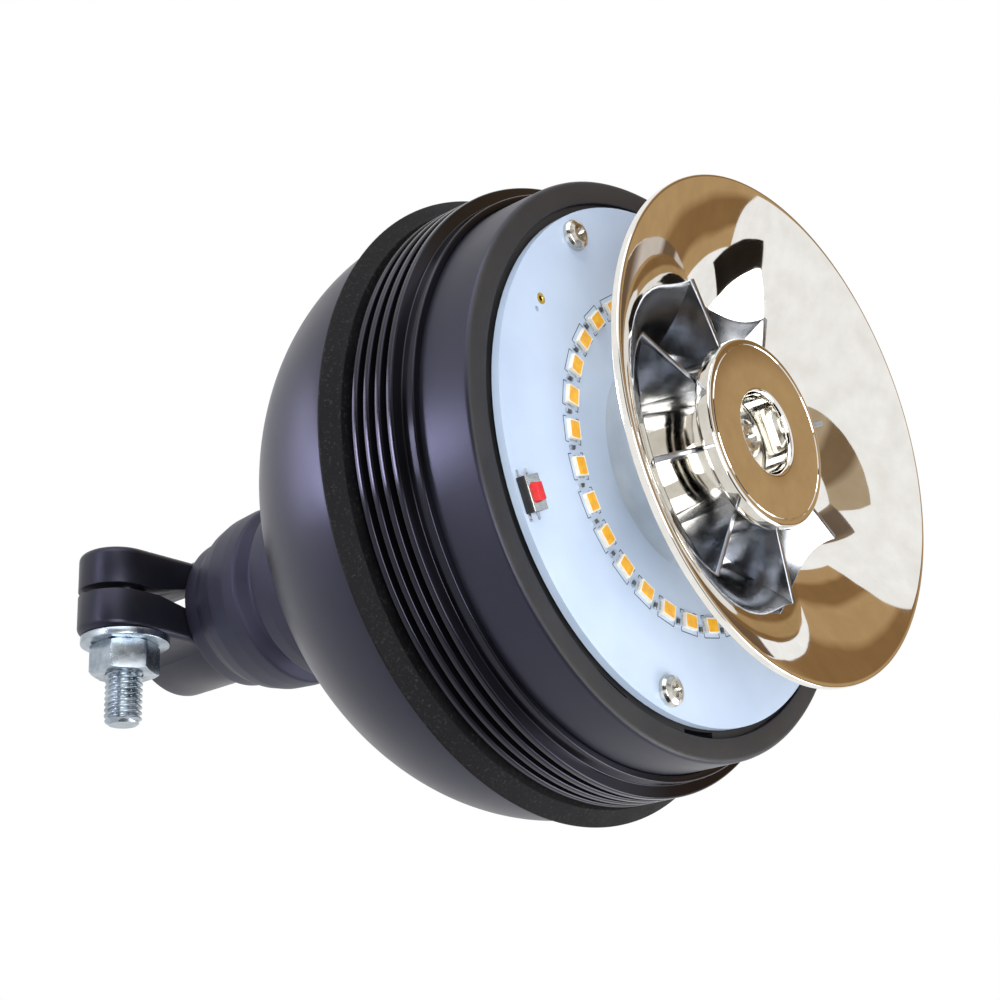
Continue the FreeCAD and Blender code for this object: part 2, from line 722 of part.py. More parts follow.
def make_lamp_housing():
    skirt = "(shell_radius - shell_wall - skirt_gap)"
    flange = "(shell_radius + flange_lap)"
    wall_in = f"({BARREL} - barrel_wall)"
    ledge = f"({LIP_TOP} - ledge_drop)"
    ledge_in = f"({LIP_INNER} - ledge_width)"
    floor_in = f"({skirt} - floor_width)"
    barrel = turned("HousingBarrel", [
        (floor_in, HOUSING_FLOOR), (skirt, HOUSING_FLOOR), (skirt, SHELL_RIM), (flange, SHELL_RIM),
        (flange, FLANGE_TOP), (BARREL, FLANGE_TOP),
        (BARREL, f"{LIP_TOP} - lip_round", "lip_round", 1), (f"{BARREL} - lip_round", LIP_TOP),
        (LIP_INNER, LIP_TOP), (LIP_INNER, ledge), (ledge_in, ledge),
        (ledge_in, f"{ledge} - ledge_thickness"),
        (wall_in, f"{ledge} - ledge_thickness - barrel_wall"),
        (wall_in, f"{HOUSING_FLOOR} + floor_thickness"),
        (floor_in, f"{HOUSING_FLOOR} + floor_thickness"),
    ])
    boss = cylinder("board_boss_radius", "board_boss_height", BOARD_SCREW_RING, "0",
                    f"{BOARD_UNDER} - board_boss_height")
    pilot = cylinder("board_screw_radius + screw_gap", "board_boss_height", BOARD_SCREW_RING, "0",
                     f"{BOARD_UNDER} - board_boss_height")
    screw_hole = cylinder("housing_screw_radius + screw_gap", "floor_thickness", SHELL_BOSS_RING, "0",
                          HOUSING_FLOOR)
    notch = (f"{BOARD_RADIUS} + notch_gap", LIP_INNER, f"{ledge} - ledge_thickness", "ledge_thickness")
    middle = "(board_screw_middle + board_screw_half_angle)"
    notches = [sector(*notch, "notch_angle", f"({middle} {sign} notch_offset)") for sign in "+-"]
    notches.append(sector(*notch, "wide_notch_angle", "wide_notch_middle"))
    whole = fuse(barrel, ring("BoardBosses", boss, board_screw_angles()))
    node("lamp_housing", cut(whole, *notches, ring("BoardPilots", pilot, board_screw_angles()),
                             ring("FloorHoles", screw_hole, housing_screw_angles())))
    head_seat = f"({HOUSING_FLOOR} + floor_thickness)"
    one = screw("HousingScrew", "housing_screw_radius", "housing_screw_head", "housing_screw_head_height",
                "housing_screw_length", head_seat)
    node("housing_screws", ring("housing_screws", moved("HousingScrewAway", one, SHELL_BOSS_RING),
                                housing_screw_angles()))


# ---- LED board and what is on it ----

def led_angles():
    count = int(number("led_count"))
    return [number("led_angle") + 360 / count * i for i in range(count)]


def make_board():
    disc = cylinder(BOARD_RADIUS, "board_thickness", z=BOARD_UNDER)
    centre = cylinder("reflector_screw_radius + reflector_hole_gap", "board_thickness", z=BOARD_UNDER)
    screw_hole = cylinder("board_screw_radius + screw_gap", "board_thickness", BOARD_SCREW_RING, "0",
                          BOARD_UNDER)
    pad_hole = cylinder("pad_hole", "board_thickness", f"{PAD_RING} * cos(pad_angle)",
                        f"{PAD_RING} * sin(pad_angle)", BOARD_UNDER)
    peg_hole = cylinder("peg_hole", "board_thickness", f"{PAD_RING} * cos(peg_angle)",
                        f"{PAD_RING} * sin(peg_angle)", BOARD_UNDER)
    node("led_board", cut(disc, centre, pad_hole, peg_hole,
                          ring("BoardScrewHoles", screw_hole, board_screw_angles())))

    one = screw("BoardScrew", "board_screw_radius", "board_screw_head", "board_screw_head_height",
                "board_screw_length", BOARD_TOP)
    node("board_screws", ring("board_screws", moved("BoardScrewAway", one, BOARD_SCREW_RING),
                              board_screw_angles()))

    block = box("led_wide", "led_long", "led_height", "led_ring - led_wide / 2", "-led_long / 2", BOARD_TOP)
    window = ("led_wide - 2 * led_wall", "led_long - 2 * led_wall", "led_window_depth",
              "led_ring - led_wide / 2 + led_wall", "-led_long / 2 + led_wall",
              f"{BOARD_TOP} + led_height - led_window_depth")
    package = cut(block, box(*window))
    node("led_packages", ring("led_packages", package, led_angles()))
    node("led_phosphors", ring("led_phosphors", box(*window), led_angles()))


def make_switch():
    inner_edge = f"({SWITCH_RING} - switch_wide / 2)"
    side = "(-switch_long / 2)"
    body = box("switch_wide", "switch_long", "switch_height", inner_edge, side, BOARD_TOP)
    wide = "(button_wide + 2 * button_flange)"
    long = "(button_long + 2 * button_flange)"
    depth = "(button_root + button_travel + button_gap)"
    well = box(f"{wide} + 2 * button_gap", f"{long} + 2 * button_gap", depth,
               f"{SWITCH_RING} - {wide} / 2 - button_gap", f"-{long} / 2 - button_gap",
               f"{SWITCH_TOP} - {depth}")
    node("switch_body", turn_to(cut(body, well), "switch_angle"))

    lid = box("switch_wide", "switch_long", "cover_thickness", inner_edge, side, SWITCH_TOP)
    window = box("button_wide + 2 * button_gap", "button_long + 2 * button_gap", "cover_thickness",
                 f"{SWITCH_RING} - button_wide / 2 - button_gap", "-button_long / 2 - button_gap",
                 SWITCH_TOP)
    node("switch_cover", turn_to(cut(lid, window), "switch_angle"))

    key = box("button_wide", "button_long", "button_root + cover_thickness + button_rise",
              f"{SWITCH_RING} - button_wide / 2", "-button_long / 2", f"{SWITCH_TOP} - button_root")
    foot = box(wide, long, "button_root", f"{SWITCH_RING} - {wide} / 2", f"-{long} / 2",
               f"{SWITCH_TOP} - button_root")
    node("mode_button", turn_to(fuse(key, foot), "switch_angle"))


# ---- reflector and its fixing ----

def make_reflector():
    bt = BOARD_TOP
    under_bow = "(reflector_bow - reflector_wall)"
    top = f"({bt} + hub_height)"
    flange = f"({top} - hub_flange_height)"
    floor = f"({bt} + hub_floor)"
    tube = "(hub_hole + hub_tube_wall)"
    hole = "(reflector_screw_radius + reflector_hole_gap)"
    horn = turned("ReflectorHorn", [
        ("foot_radius", bt, under_bow, -1),
        (f"{REFLECTOR_RIM} - rim_chamfer", f"{bt} + reflector_height - reflector_wall"),
        (REFLECTOR_RIM, f"{bt} + reflector_height - reflector_wall + rim_chamfer"),
        (REFLECTOR_RIM, f"{bt} + reflector_height"),
        (f"{REFLECTOR_RIM} - rim_land", f"{bt} + reflector_height", "reflector_bow", 1),
        ("bowl_floor_radius", f"{bt} + reflector_wall"), ("hub_foot_radius", f"{bt} + reflector_wall"),
        ("hub_radius", flange), ("hub_flange_radius - hub_edge", flange, "hub_edge", 1),
        ("hub_flange_radius", f"{flange} + hub_edge"),
        ("hub_flange_radius", f"{top} - hub_edge", "hub_edge", 1),
        ("hub_flange_radius - hub_edge", top), ("hub_hole + hub_edge", top, "hub_edge", 1),
        ("hub_hole", f"{top} - hub_edge"), ("hub_hole", floor), (hole, floor),
        (hole, f"{floor} - hub_floor_thickness"), (tube, f"{floor} - hub_floor_thickness"),
        (tube, f"{top} - hub_wall"), ("hub_radius - hub_wall", f"{top} - hub_wall"),
        ("hub_foot_radius - hub_wall", bt),
    ])
    gusset = plate("Gusset", "XZ", [
        ("hub_radius - hub_wall / 2", f"{bt} + gusset_top"),
        ("hub_foot_radius - hub_wall / 2", f"{bt} + reflector_wall / 2"),
        ("bowl_floor_radius + reflector_wall / 2", f"{bt} + reflector_wall / 2",
         "reflector_bow - reflector_wall / 2", -1),
        ("gusset_tip_radius", f"{bt} + gusset_tip_height - reflector_wall / 2"),
        ("gusset_tip_radius - reflector_wall / 2", f"{bt} + gusset_tip_height"),
    ], "rib_plate", symmetric=True)
    count = int(number("gusset_count"))
    angles = [number("gusset_angle") + 360 / count * i for i in range(count)]
    node("reflector", fuse(horn, ring("Gussets", gusset, angles)))

    washer_top = f"({floor} + reflector_washer_thickness)"
    node("reflector_washer", turned("reflector_washer", [
        (hole, floor), ("reflector_washer_radius", floor), ("reflector_washer_radius", washer_top),
        (hole, washer_top),
    ]))
    end = f"({BOARD_UNDER} - reflector_nut_height - reflector_screw_spare)"
    node("reflector_screw", screw("ReflectorScrew", "reflector_screw_radius", "reflector_screw_head",
                                  "reflector_screw_head_height", f"({washer_top} - {end})", washer_top))
    nut_base = f"({BOARD_UNDER} - reflector_nut_height)"
    nut = hexagon("reflector_nut_flats", "reflector_nut_height", z=nut_base)
    bore = cylinder("reflector_screw_radius + screw_gap", "reflector_nut_height", z=nut_base)
    node("reflector_nut", cut(nut, bore))


def make_driver_parts():
    can = cylinder("capacitor_radius", "capacitor_height", "capacitor_ring * cos(capacitor_angle)",
                   "capacitor_ring * sin(capacitor_angle)", f"{BOARD_UNDER} - capacitor_height")
    node("driver_capacitor", can)
    x, y = "capacitor_ring * cos(coil_angle)", "capacitor_ring * sin(coil_angle)"
    base = f"({BOARD_UNDER} - coil_height)"
    core = cylinder("coil_radius", "coil_height", x, y, base)
    winding = cut(cylinder("coil_radius", "coil_height * 0.6", x, y, f"{base} + coil_height * 0.2"),
                  cylinder("coil_radius * 0.85", "coil_height * 0.6", x, y, f"{base} + coil_height * 0.2"))
    node("driver_coil", cut(core, winding))


make_pole_clamp()
make_bolt_set()
make_contacts()
make_neck()
make_lower_shell()
make_sealing_band()
make_ribbed_collar()
make_lamp_housing()
make_board()
make_switch()
make_reflector()
make_driver_parts()

doc.recompute()
failed = [o.Name for o in doc.Objects if "Invalid" in o.State or "Error" in o.State]
if failed:
    raise RuntimeError(f"objects that failed: {failed}")
for name, made in nodes.items():
    if made.Shape.isNull() or not made.Shape.isValid() or not made.Shape.Solids:
        raise RuntimeError(f"{name} has no valid shape")

os.makedirs("parts", exist_ok=True)
for name, made in nodes.items():
    made.Shape.exportStep(f"parts/{name}.step")
    bounds = made.Shape.BoundBox
    print(f"{name}: {len(made.Shape.Solids)} solids, {made.Shape.Volume:.1f} mm3, "
          f"Z {bounds.ZMin:.2f} to {bounds.ZMax:.2f}")
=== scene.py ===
import math

import bmesh
import bpy
from mathutils import Matrix, Vector


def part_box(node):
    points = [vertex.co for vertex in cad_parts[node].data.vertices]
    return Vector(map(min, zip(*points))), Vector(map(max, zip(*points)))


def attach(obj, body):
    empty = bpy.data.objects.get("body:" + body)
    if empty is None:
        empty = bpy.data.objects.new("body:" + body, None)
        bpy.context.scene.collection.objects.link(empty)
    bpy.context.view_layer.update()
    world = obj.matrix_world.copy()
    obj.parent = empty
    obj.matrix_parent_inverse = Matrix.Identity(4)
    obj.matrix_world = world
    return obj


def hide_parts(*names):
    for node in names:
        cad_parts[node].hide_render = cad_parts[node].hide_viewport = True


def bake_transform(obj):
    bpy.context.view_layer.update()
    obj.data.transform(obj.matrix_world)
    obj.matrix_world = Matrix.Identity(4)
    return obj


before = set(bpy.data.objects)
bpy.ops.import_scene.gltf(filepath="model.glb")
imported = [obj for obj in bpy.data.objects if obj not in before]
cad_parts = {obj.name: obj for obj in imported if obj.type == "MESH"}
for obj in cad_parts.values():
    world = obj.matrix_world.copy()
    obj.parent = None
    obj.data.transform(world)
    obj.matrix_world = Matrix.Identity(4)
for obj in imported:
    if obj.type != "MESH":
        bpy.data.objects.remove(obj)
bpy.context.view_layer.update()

# A pole-mounted beacon with its lens off. Lengths below are in millimetres until a mesh is made.

MM = 0.001
ROUND = 256                 # steps round a turned piece

# levels along the axis
SEAT = 66.0                 # top of the neck, seat of the lower shell
SHELL_MIDDLE = 108.2        # where the lower shell turns straight
SHELL_RIM = 111.5
FLANGE_TOP = 112.7
BAND_TOP = 115.8
COLLAR_TOP = 130.5
LIP_TOP = 141.6
LEDGE = 140.4
BOARD_TOP = 143.0

# radii
SHELL_RADIUS = 59.8
SHELL_DROP = 44.1
SHELL_WALL = 2.6
SKIRT_INNER = 42.6
STUB_HOLE = 8.2             # in the bowl's floor
FLANGE_EDGE = 60.2
BAND_FOOT = 62.2            # sealing band, at its foot and at its top
BAND_SHOULDER = 60.0
RIB_ROOT = 57.0
RIB_CREST = 59.4
BARREL = 55.5
LIP_INNER = 50.9
LEDGE_INNER = 47.0
BOARD_EDGE = 49.5
LED_RING = 30.8
SCREW_RING = 45.6
SWITCH_RING = 47.0

# directions round the axis, in degrees, and how many LEDs stand in the ring
LED_COUNT = 30
LED_FIRST = 10.45
SCREW_ANGLES = (216.6, 349.3, 102.95)
SWITCH_ANGLE = 292.0
SWITCH_NOTCH = 298.5        # the ledge's cut-out at the switch

# ribs of the collar
RIB_COUNT = 4
RIB_PITCH = 2.75
RIB_HALF = 0.85
FIRST_RIB = 2.95            # middle of the first rib above the band

# clamp bolt, M8
BOLT_Y = -25.6
BOLT_Z = 13.25
BOLT_CREST = 4.0
BOLT_ROOT = 3.4
BOLT_PITCH = 1.25
BOLT_END = 28.0
HEX_FLATS = 13.0

# studio
HEAD_MIDDLE = 130.0         # level that the painted cards face
CARD_DISTANCE = 1500.0
LAMP_AIM = (0, 0, 110)


# ---------------------------------------------------------------- materials

def colour(hex_code):
    """An sRGB hex code as the linear opaque colour that a shader takes."""
    parts = [int(hex_code[i:i + 2], 16) / 255 for i in (1, 3, 5)]
    linear = [c / 12.92 if c <= 0.04045 else ((c + 0.055) / 1.055) ** 2.4 for c in parts]
    return (*linear, 1.0)


def add(tree, kind, inputs=None, **settings):
    """A new node, with its settings and with its inputs set to values or linked to sockets."""
    node = tree.nodes.new(kind)
    for key, value in settings.items():
        setattr(node, key, value)
    for key, value in (inputs or {}).items():
        if isinstance(value, bpy.types.NodeSocket):
            tree.links.new(value, node.inputs[key])
        else:
            node.inputs[key].default_value = value
    return node


def place(tree):
    """Where a point is on the object, in metres."""
    return add(tree, "ShaderNodeTexCoord").outputs["Object"]


def noise(tree, size_mm, detail=3.0, roughness=0.55):
    """Noise with features of about this size."""
    made = add(tree, "ShaderNodeTexNoise", {
        "Vector": place(tree), "Scale": 1000.0 / size_mm, "Detail": detail, "Roughness": roughness})
    return made.outputs["Fac"]


def ramp(tree, value, stops):
    """A colour ramp from (position, hex) stops."""
    made = add(tree, "ShaderNodeValToRGB", {"Fac": value})
    band = made.color_ramp
    while len(band.elements) < len(stops):
        band.elements.new(0.5)
    for element, (at, code) in zip(band.elements, stops):
        element.position = at
        element.color = colour(code)
    return made.outputs["Color"]


def spread(tree, value, low, high, start=0.3, stop=0.7):
    """A value spread between two limits."""
    made = add(tree, "ShaderNodeMapRange", {
        "Value": value, "From Min": start, "From Max": stop, "To Min": low, "To Max": high})
    return made.outputs["Result"]


def bump(tree, height, depth_mm, strength=1.0):
    """A bump of this real depth."""
    made = add(tree, "ShaderNodeBump", {"Height": height, "Distance": depth_mm * MM, "Strength": strength})
    return made.outputs["Normal"]


def surface(name, **constants):
    """A material with its one shader, and the shader's constant values set on its own sockets."""
    made = bpy.data.materials.new(name)
    made.use_nodes = True
    tree = made.node_tree
    tree.nodes.clear()
    shader = add(tree, "ShaderNodeBsdfPrincipled")
    for key, value in constants.items():
        shader.inputs[key.replace("_", " ")].default_value = value
    add(tree, "ShaderNodeOutputMaterial", {"Surface": shader.outputs["BSDF"]})
    return made, tree, shader


def connect(tree, shader, **sockets):
    """Values linked to the shader's own sockets, named with underscores."""
    for key, value in sockets.items():
        tree.links.new(value, shader.inputs[key.replace("_", " ")])


def moulded(name, low, high, grain_mm, grain_depth, rough, blotch_mm=18.0, **constants):
    """A moulded plastic or rubber: a grain in the surface, and a slow change of shade and gloss."""
    made, tree, shader = surface(name, **constants)
    slow = noise(tree, blotch_mm, 4.0)
    fine = noise(tree, grain_mm, 2.0, 0.5)
    connect(tree, shader,
            Base_Color=ramp(tree, slow, [(0.35, low), (0.65, high)]),
            Roughness=spread(tree, slow, *rough),
            Normal=bump(tree, fine, grain_depth))
    return made


def plated(name, low, high, rough, spangle_mm=2.5, depth=0.004, **constants):
    """A plated metal: faint spangle and rubbed patches."""
    made, tree, shader = surface(name, Metallic=1.0, **constants)
    cells = add(tree, "ShaderNodeTexVoronoi", {"Vector": place(tree), "Scale": 1000.0 / spangle_mm})
    tone = noise(tree, spangle_mm * 1.5, 5.0)
    connect(tree, shader,
            Base_Color=ramp(tree, tone, [(0.3, low), (0.7, high)]),
            Roughness=spread(tree, tone, *rough),
            Normal=bump(tree, cells.outputs["Distance"], depth, 0.4))
    return made


# Satin black ABS with a fine moulded grain: nearly black, with broad soft violet-grey lights.
BLACK_ABS = moulded("black_abs_satin", "#121217", "#191920", 0.35, 0.012, (0.32, 0.42), 24.0,
                    Specular_Tint=colour("#d6d7ff"))
# The lip's top face is coarser and greyer than the sides, where the mould was sparked.
LIP_ABS = moulded("black_abs_textured", "#1c1c1f", "#262526", 0.45, 0.03, (0.5, 0.62), 8.0)
# Polished black plastic of the collar: mirror-like, so each rib shows as one thin bright line.
GLOSS_BLACK = moulded("black_plastic_polished", "#060608", "#0a0a0d", 0.8, 0.002, (0.14, 0.2), 15.0,
                      Specular_IOR_Level=0.35, Specular_Tint=colour("#dcddff"))
# Black rubber of the neck, dull and smooth.
NECK_RUBBER = moulded("black_rubber_neck", "#1b1b23", "#23232d", 0.5, 0.01, (0.45, 0.55), 14.0,
                      Specular_Tint=colour("#cfd0ff"))
# Glass-filled nylon of the clamp, a little glossier than the rubber.
CLAMP_NYLON = moulded("black_nylon_clamp", "#0a0a0d", "#111115", 0.4, 0.012, (0.34, 0.44), 9.0,
                      Specular_Tint=colour("#d6d7ff"))
# Red plastic of the switch's button.
BUTTON_RED = moulded("red_switch_plastic", "#c81d22", "#dc2a2c", 0.6, 0.01, (0.35, 0.45), 2.0)
# Black plastic base of the switch.
SWITCH_BLACK = moulded("black_switch_plastic", "#1a1a1c", "#242426", 0.3, 0.01, (0.4, 0.5), 2.0)
# White LED packages, slightly creamy.
LED_WHITE = moulded("led_body_white", "#efe6d2", "#f7f2e6", 0.3, 0.005, (0.35, 0.45), 1.5)
# Small ceramic parts on the board, grey with a dark glaze.
CHIP_GREY = moulded("chip_ceramic", "#3c4046", "#575c62", 0.4, 0.01, (0.35, 0.5), 1.2)
# Printed legend on the board: thin dark ink.
PRINT_DARK = moulded("board_print_dark", "#1f2a38", "#2b3848", 0.3, 0.002, (0.5, 0.6), 3.0)
# Natural nylon of the contact carrier.
NATURAL_NYLON = moulded("natural_nylon", "#cfc9b8", "#d9d4c5", 0.4, 0.01, (0.4, 0.5), 6.0)
# Sleeve of the capacitor and body of the coil.
DARK_SLEEVE = moulded("capacitor_sleeve", "#1a1f33", "#232a44", 0.3, 0.004, (0.25, 0.35), 6.0)
FERRITE = moulded("ferrite_and_winding", "#26262a", "#34343a", 0.3, 0.02, (0.5, 0.7), 4.0)

# Zinc plate: bluish silver, bright on the edges.
ZINC = plated("zinc_plated_steel", "#87929d", "#bac4cc", (0.2, 0.34))
# Nickel-plated screws and the switch's pressed cover.
NICKEL = plated("nickel_plated_steel", "#c3c1ba", "#e2e0da", (0.16, 0.26), 1.2, 0.002)
BRASS = plated("brass_contact", "#b08d4a", "#cba85e", (0.25, 0.38), 1.5, 0.002)
SPRING_STEEL = plated("drawn_spring_wire", "#8b8d92", "#a9abb0", (0.25, 0.35), 0.8, 0.002)
SOLDER = plated("solder", "#b7bcc4", "#dde1e6", (0.2, 0.35), 0.8, 0.01)
GOLD = plated("gold_plated_pad", "#b79a3e", "#d9c06a", (0.2, 0.3), 0.6, 0.002)


def dusty_rubber():
    """The sealing band: dull black rubber with pale dust caught in its skin."""
    made, tree, shader = surface("black_rubber_band", Specular_IOR_Level=0.12)
    slow = noise(tree, 7.0, 4.0)
    specks = noise(tree, 0.55, 4.0, 0.7)
    dust = spread(tree, specks, 0.0, 1.0, 0.56, 0.72)
    base = ramp(tree, slow, [(0.3, "#0c0c0e"), (0.7, "#131315")])
    mixed = add(tree, "ShaderNodeMix", {"Factor": dust}, data_type="RGBA")
    tree.links.new(base, mixed.inputs["A"])
    mixed.inputs["B"].default_value = colour("#343334")
    connect(tree, shader, Base_Color=mixed.outputs["Result"],
            Roughness=spread(tree, slow, 0.55, 0.7),
            Normal=bump(tree, specks, 0.05))
    return made


def solder_mask():
    """White solder mask: pale and faintly blue, glossy, with a slight weave from the laminate below."""
    made, tree, shader = surface("white_solder_mask", Coat_Weight=0.3, Coat_Roughness=0.15)
    slow = noise(tree, 22.0, 3.0)
    where = place(tree)
    threads = {"Vector": where, "Scale": 320.0, "Distortion": 0.6}
    across = add(tree, "ShaderNodeTexWave", threads, bands_direction="X").outputs["Fac"]
    along = add(tree, "ShaderNodeTexWave", threads, bands_direction="Y").outputs["Fac"]
    weave = add(tree, "ShaderNodeMath", {0: across, 1: along}, operation="MULTIPLY")
    connect(tree, shader,
            Base_Color=ramp(tree, slow, [(0.3, "#b3c4db"), (0.7, "#c0d0e4")]),
            Roughness=spread(tree, slow, 0.3, 0.4),
            Normal=bump(tree, weave.outputs["Value"], 0.004))
    return made


def mirror_film():
    """Vacuum-metallised plastic: a bright, slightly warm mirror whose surface runs in faint waves."""
    made, tree, shader = surface("metallised_mirror", Metallic=1.0)
    slow = noise(tree, 16.0, 2.0)
    tone = noise(tree, 5.0, 3.0)
    connect(tree, shader,
            Base_Color=ramp(tree, tone, [(0.3, "#e3e0da"), (0.7, "#efede8")]),
            Roughness=spread(tree, tone, 0.025, 0.05),
            Normal=bump(tree, slow, 0.05))
    return made


def painted_reflection_fin_mirror():
    """The same metal film on the fins, a little softer, with a greyer colour painted in for the dark
    surroundings that they reflect (painted reflection).
    """
    made, tree, shader = surface("metallised_fins_painted_reflection", Metallic=1.0)
    tone = noise(tree, 4.0, 3.0)
    # painted reflection: the grey base colour stands in for the dark surroundings mirrored in the fins
    connect(tree, shader,
            Base_Color=ramp(tree, tone, [(0.3, "#8d929c"), (0.7, "#a9adb5")]),
            Roughness=spread(tree, tone, 0.16, 0.24))
    return made


def phosphor():
    """Silicone gel full of yellow phosphor: deeper orange towards the middle, wet-looking."""
    made, tree, shader = surface("led_phosphor_yellow", Coat_Weight=0.4, Coat_Roughness=0.1)
    slow = noise(tree, 1.4, 3.0)
    fine = noise(tree, 0.25, 3.0)
    connect(tree, shader,
            Base_Color=ramp(tree, slow, [(0.3, "#f2a200"), (0.7, "#ffc21a")]),
            Roughness=spread(tree, fine, 0.25, 0.4),
            Normal=bump(tree, fine, 0.01))
    return made


BAND_RUBBER = dusty_rubber()
WHITE_MASK = solder_mask()
MIRROR = mirror_film()
# the fins' mirror film, with the dark surroundings they reflect painted in as a greyer colour
PAINTED_REFLECTION_FIN_MIRROR = painted_reflection_fin_mirror()
PHOSPHOR = phosphor()


# ---------------------------------------------------------------- meshes

def finish_mesh(name, build, material, sharp_deg=35.0):
    """An object at the origin from a bmesh in millimetres, closed and facing outward."""
    bmesh.ops.remove_doubles(build, verts=build.verts, dist=1e-5)
    bmesh.ops.recalc_face_normals(build, faces=build.faces)
    bmesh.ops.scale(build, vec=(MM, MM, MM), verts=build.verts)
    mesh = bpy.data.meshes.new(name)
    build.to_mesh(mesh)
    build.free()
    for face in mesh.polygons:
        face.use_smooth = True
    mesh.set_sharp_from_angle(angle=math.radians(sharp_deg))
    mesh.materials.append(material)
    made = bpy.data.objects.new(name, mesh)
    bpy.context.scene.collection.objects.link(made)
    return made


def eased(points, steps=4, closed=True):
    """An outline of (across, up, fillet radius) with its corners rounded."""
    made = []
    count = len(points)
    for i, point in enumerate(points):
        here = Vector(point[:2])
        fillet = point[2] if len(point) > 2 else 0.0
        if fillet <= 0 or (not closed and i in (0, count - 1)):
            made.append(here)
            continue
        before = (Vector(points[i - 1][:2]) - here)
        after = (Vector(points[(i + 1) % count][:2]) - here)
        angle = before.angle(after)
        reach = min(fillet / math.tan(angle / 2), before.length * 0.49, after.length * 0.49)
        radius = reach * math.tan(angle / 2)
        inward = (before.normalized() + after.normalized()).normalized()
        middle = here + inward * (radius / math.sin(angle / 2))
        start = here + before.normalized() * reach - middle
        stop = here + after.normalized() * reach - middle
        turn = start.angle_signed(stop)
        for k in range(steps + 1):
            made.append(middle + Matrix.Rotation(-turn * k / steps, 2) @ start)
    return [(p.x, p.y) for p in made]


def arc(start, stop, radius, side, steps):
    """Points after start up to stop on an arc. Side is +1 where it turns left, -1 where it turns right."""
    a, b = Vector(start), Vector(stop)
    half = (b - a) / 2
    left = Vector((-half.y, half.x)).normalized() * side
    middle = a + half + left * math.sqrt(radius ** 2 - half.length_squared)
    first = a - middle
    turn = first.angle_signed(b - middle)
    return [tuple(middle + Matrix.Rotation(-turn * k / steps, 2) @ first) for k in range(1, steps + 1)]


def turned(name, outline, material, angles=None, sharp_deg=35.0):
    """A closed outline of (radius, height) turned about the axis. It may be a function of the angle in
    degrees, which gives as many points at every angle."""
    angles = angles or [360 * k / ROUND for k in range(ROUND)]
    build = bmesh.new()
    rings = []
    for angle in angles:
        points = outline(angle) if callable(outline) else outline
        c, s = math.cos(math.radians(angle)), math.sin(math.radians(angle))
        rings.append([build.verts.new((r * c, r * s, z)) for r, z in points])
    for k, ring in enumerate(rings):
        following = rings[(k + 1) % len(rings)]
        for i in range(len(ring)):
            j = (i + 1) % len(ring)
            build.faces.new((ring[i], ring[j], following[j], following[i]))
    return finish_mesh(name, build, material, sharp_deg)


def prism(build, outline, low, high, matrix=Matrix.Identity(4)):
    """A closed prism from an outline in its own XY plane, between two heights."""
    bottom = [build.verts.new(matrix @ Vector((x, y, low))) for x, y in outline]
    top = [build.verts.new(matrix @ Vector((x, y, high))) for x, y in outline]
    build.faces.new(bottom[::-1])
    build.faces.new(top)
    count = len(outline)
    for i in range(count):
        j = (i + 1) % count
        build.faces.new((bottom[i], bottom[j], top[j], top[i]))


def block(build, size, centre, fillet=0.0, matrix=Matrix.Identity(4)):
    """A block with its upright edges rounded."""
    x, y, z = (s / 2 for s in size)
    corners = [(centre[0] - x, centre[1] - y, fillet), (centre[0] + x, centre[1] - y, fillet),
               (centre[0] + x, centre[1] + y, fillet), (centre[0] - x, centre[1] + y, fillet)]
    prism(build, eased(corners, 3), centre[2] - z, centre[2] + z, matrix)


def bevelled(piece, width_mm, segments=2):
    """The piece with its sharp edges eased, as a plain mesh."""
    change = piece.modifiers.new("Edges", "BEVEL")
    change.width = width_mm * MM
    change.segments = segments
    change.limit_method = "ANGLE"
    change.angle_limit = math.radians(40.0)
    return applied(piece)


def applied(piece):
    """The piece with its modifiers made part of its mesh."""
    graph = bpy.context.evaluated_depsgraph_get()
    mesh = bpy.data.meshes.new_from_object(piece.evaluated_get(graph))
    piece.modifiers.clear()
    piece.data = mesh
    return piece


def resharpened(piece, sharp_deg=35.0):
    """The piece shaded smooth, except across its sharp edges."""
    for face in piece.data.polygons:
        face.use_smooth = True
    piece.data.set_sharp_from_angle(angle=math.radians(sharp_deg))
    return piece


def softened(node, width_mm, material, name):
    """A copy of a CAD node with its sharp edges eased."""
    build = bmesh.new()
    build.from_mesh(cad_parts[node].data)
    bmesh.ops.remove_doubles(build, verts=build.verts, dist=1e-7)
    bmesh.ops.dissolve_limit(build, angle_limit=math.radians(0.4), verts=build.verts, edges=build.edges)
    mesh = bpy.data.meshes.new(name)
    build.to_mesh(mesh)
    build.free()
    mesh.materials.append(material)
    made = bpy.data.objects.new(name, mesh)
    bpy.context.scene.collection.objects.link(made)
    return resharpened(bevelled(made, width_mm))


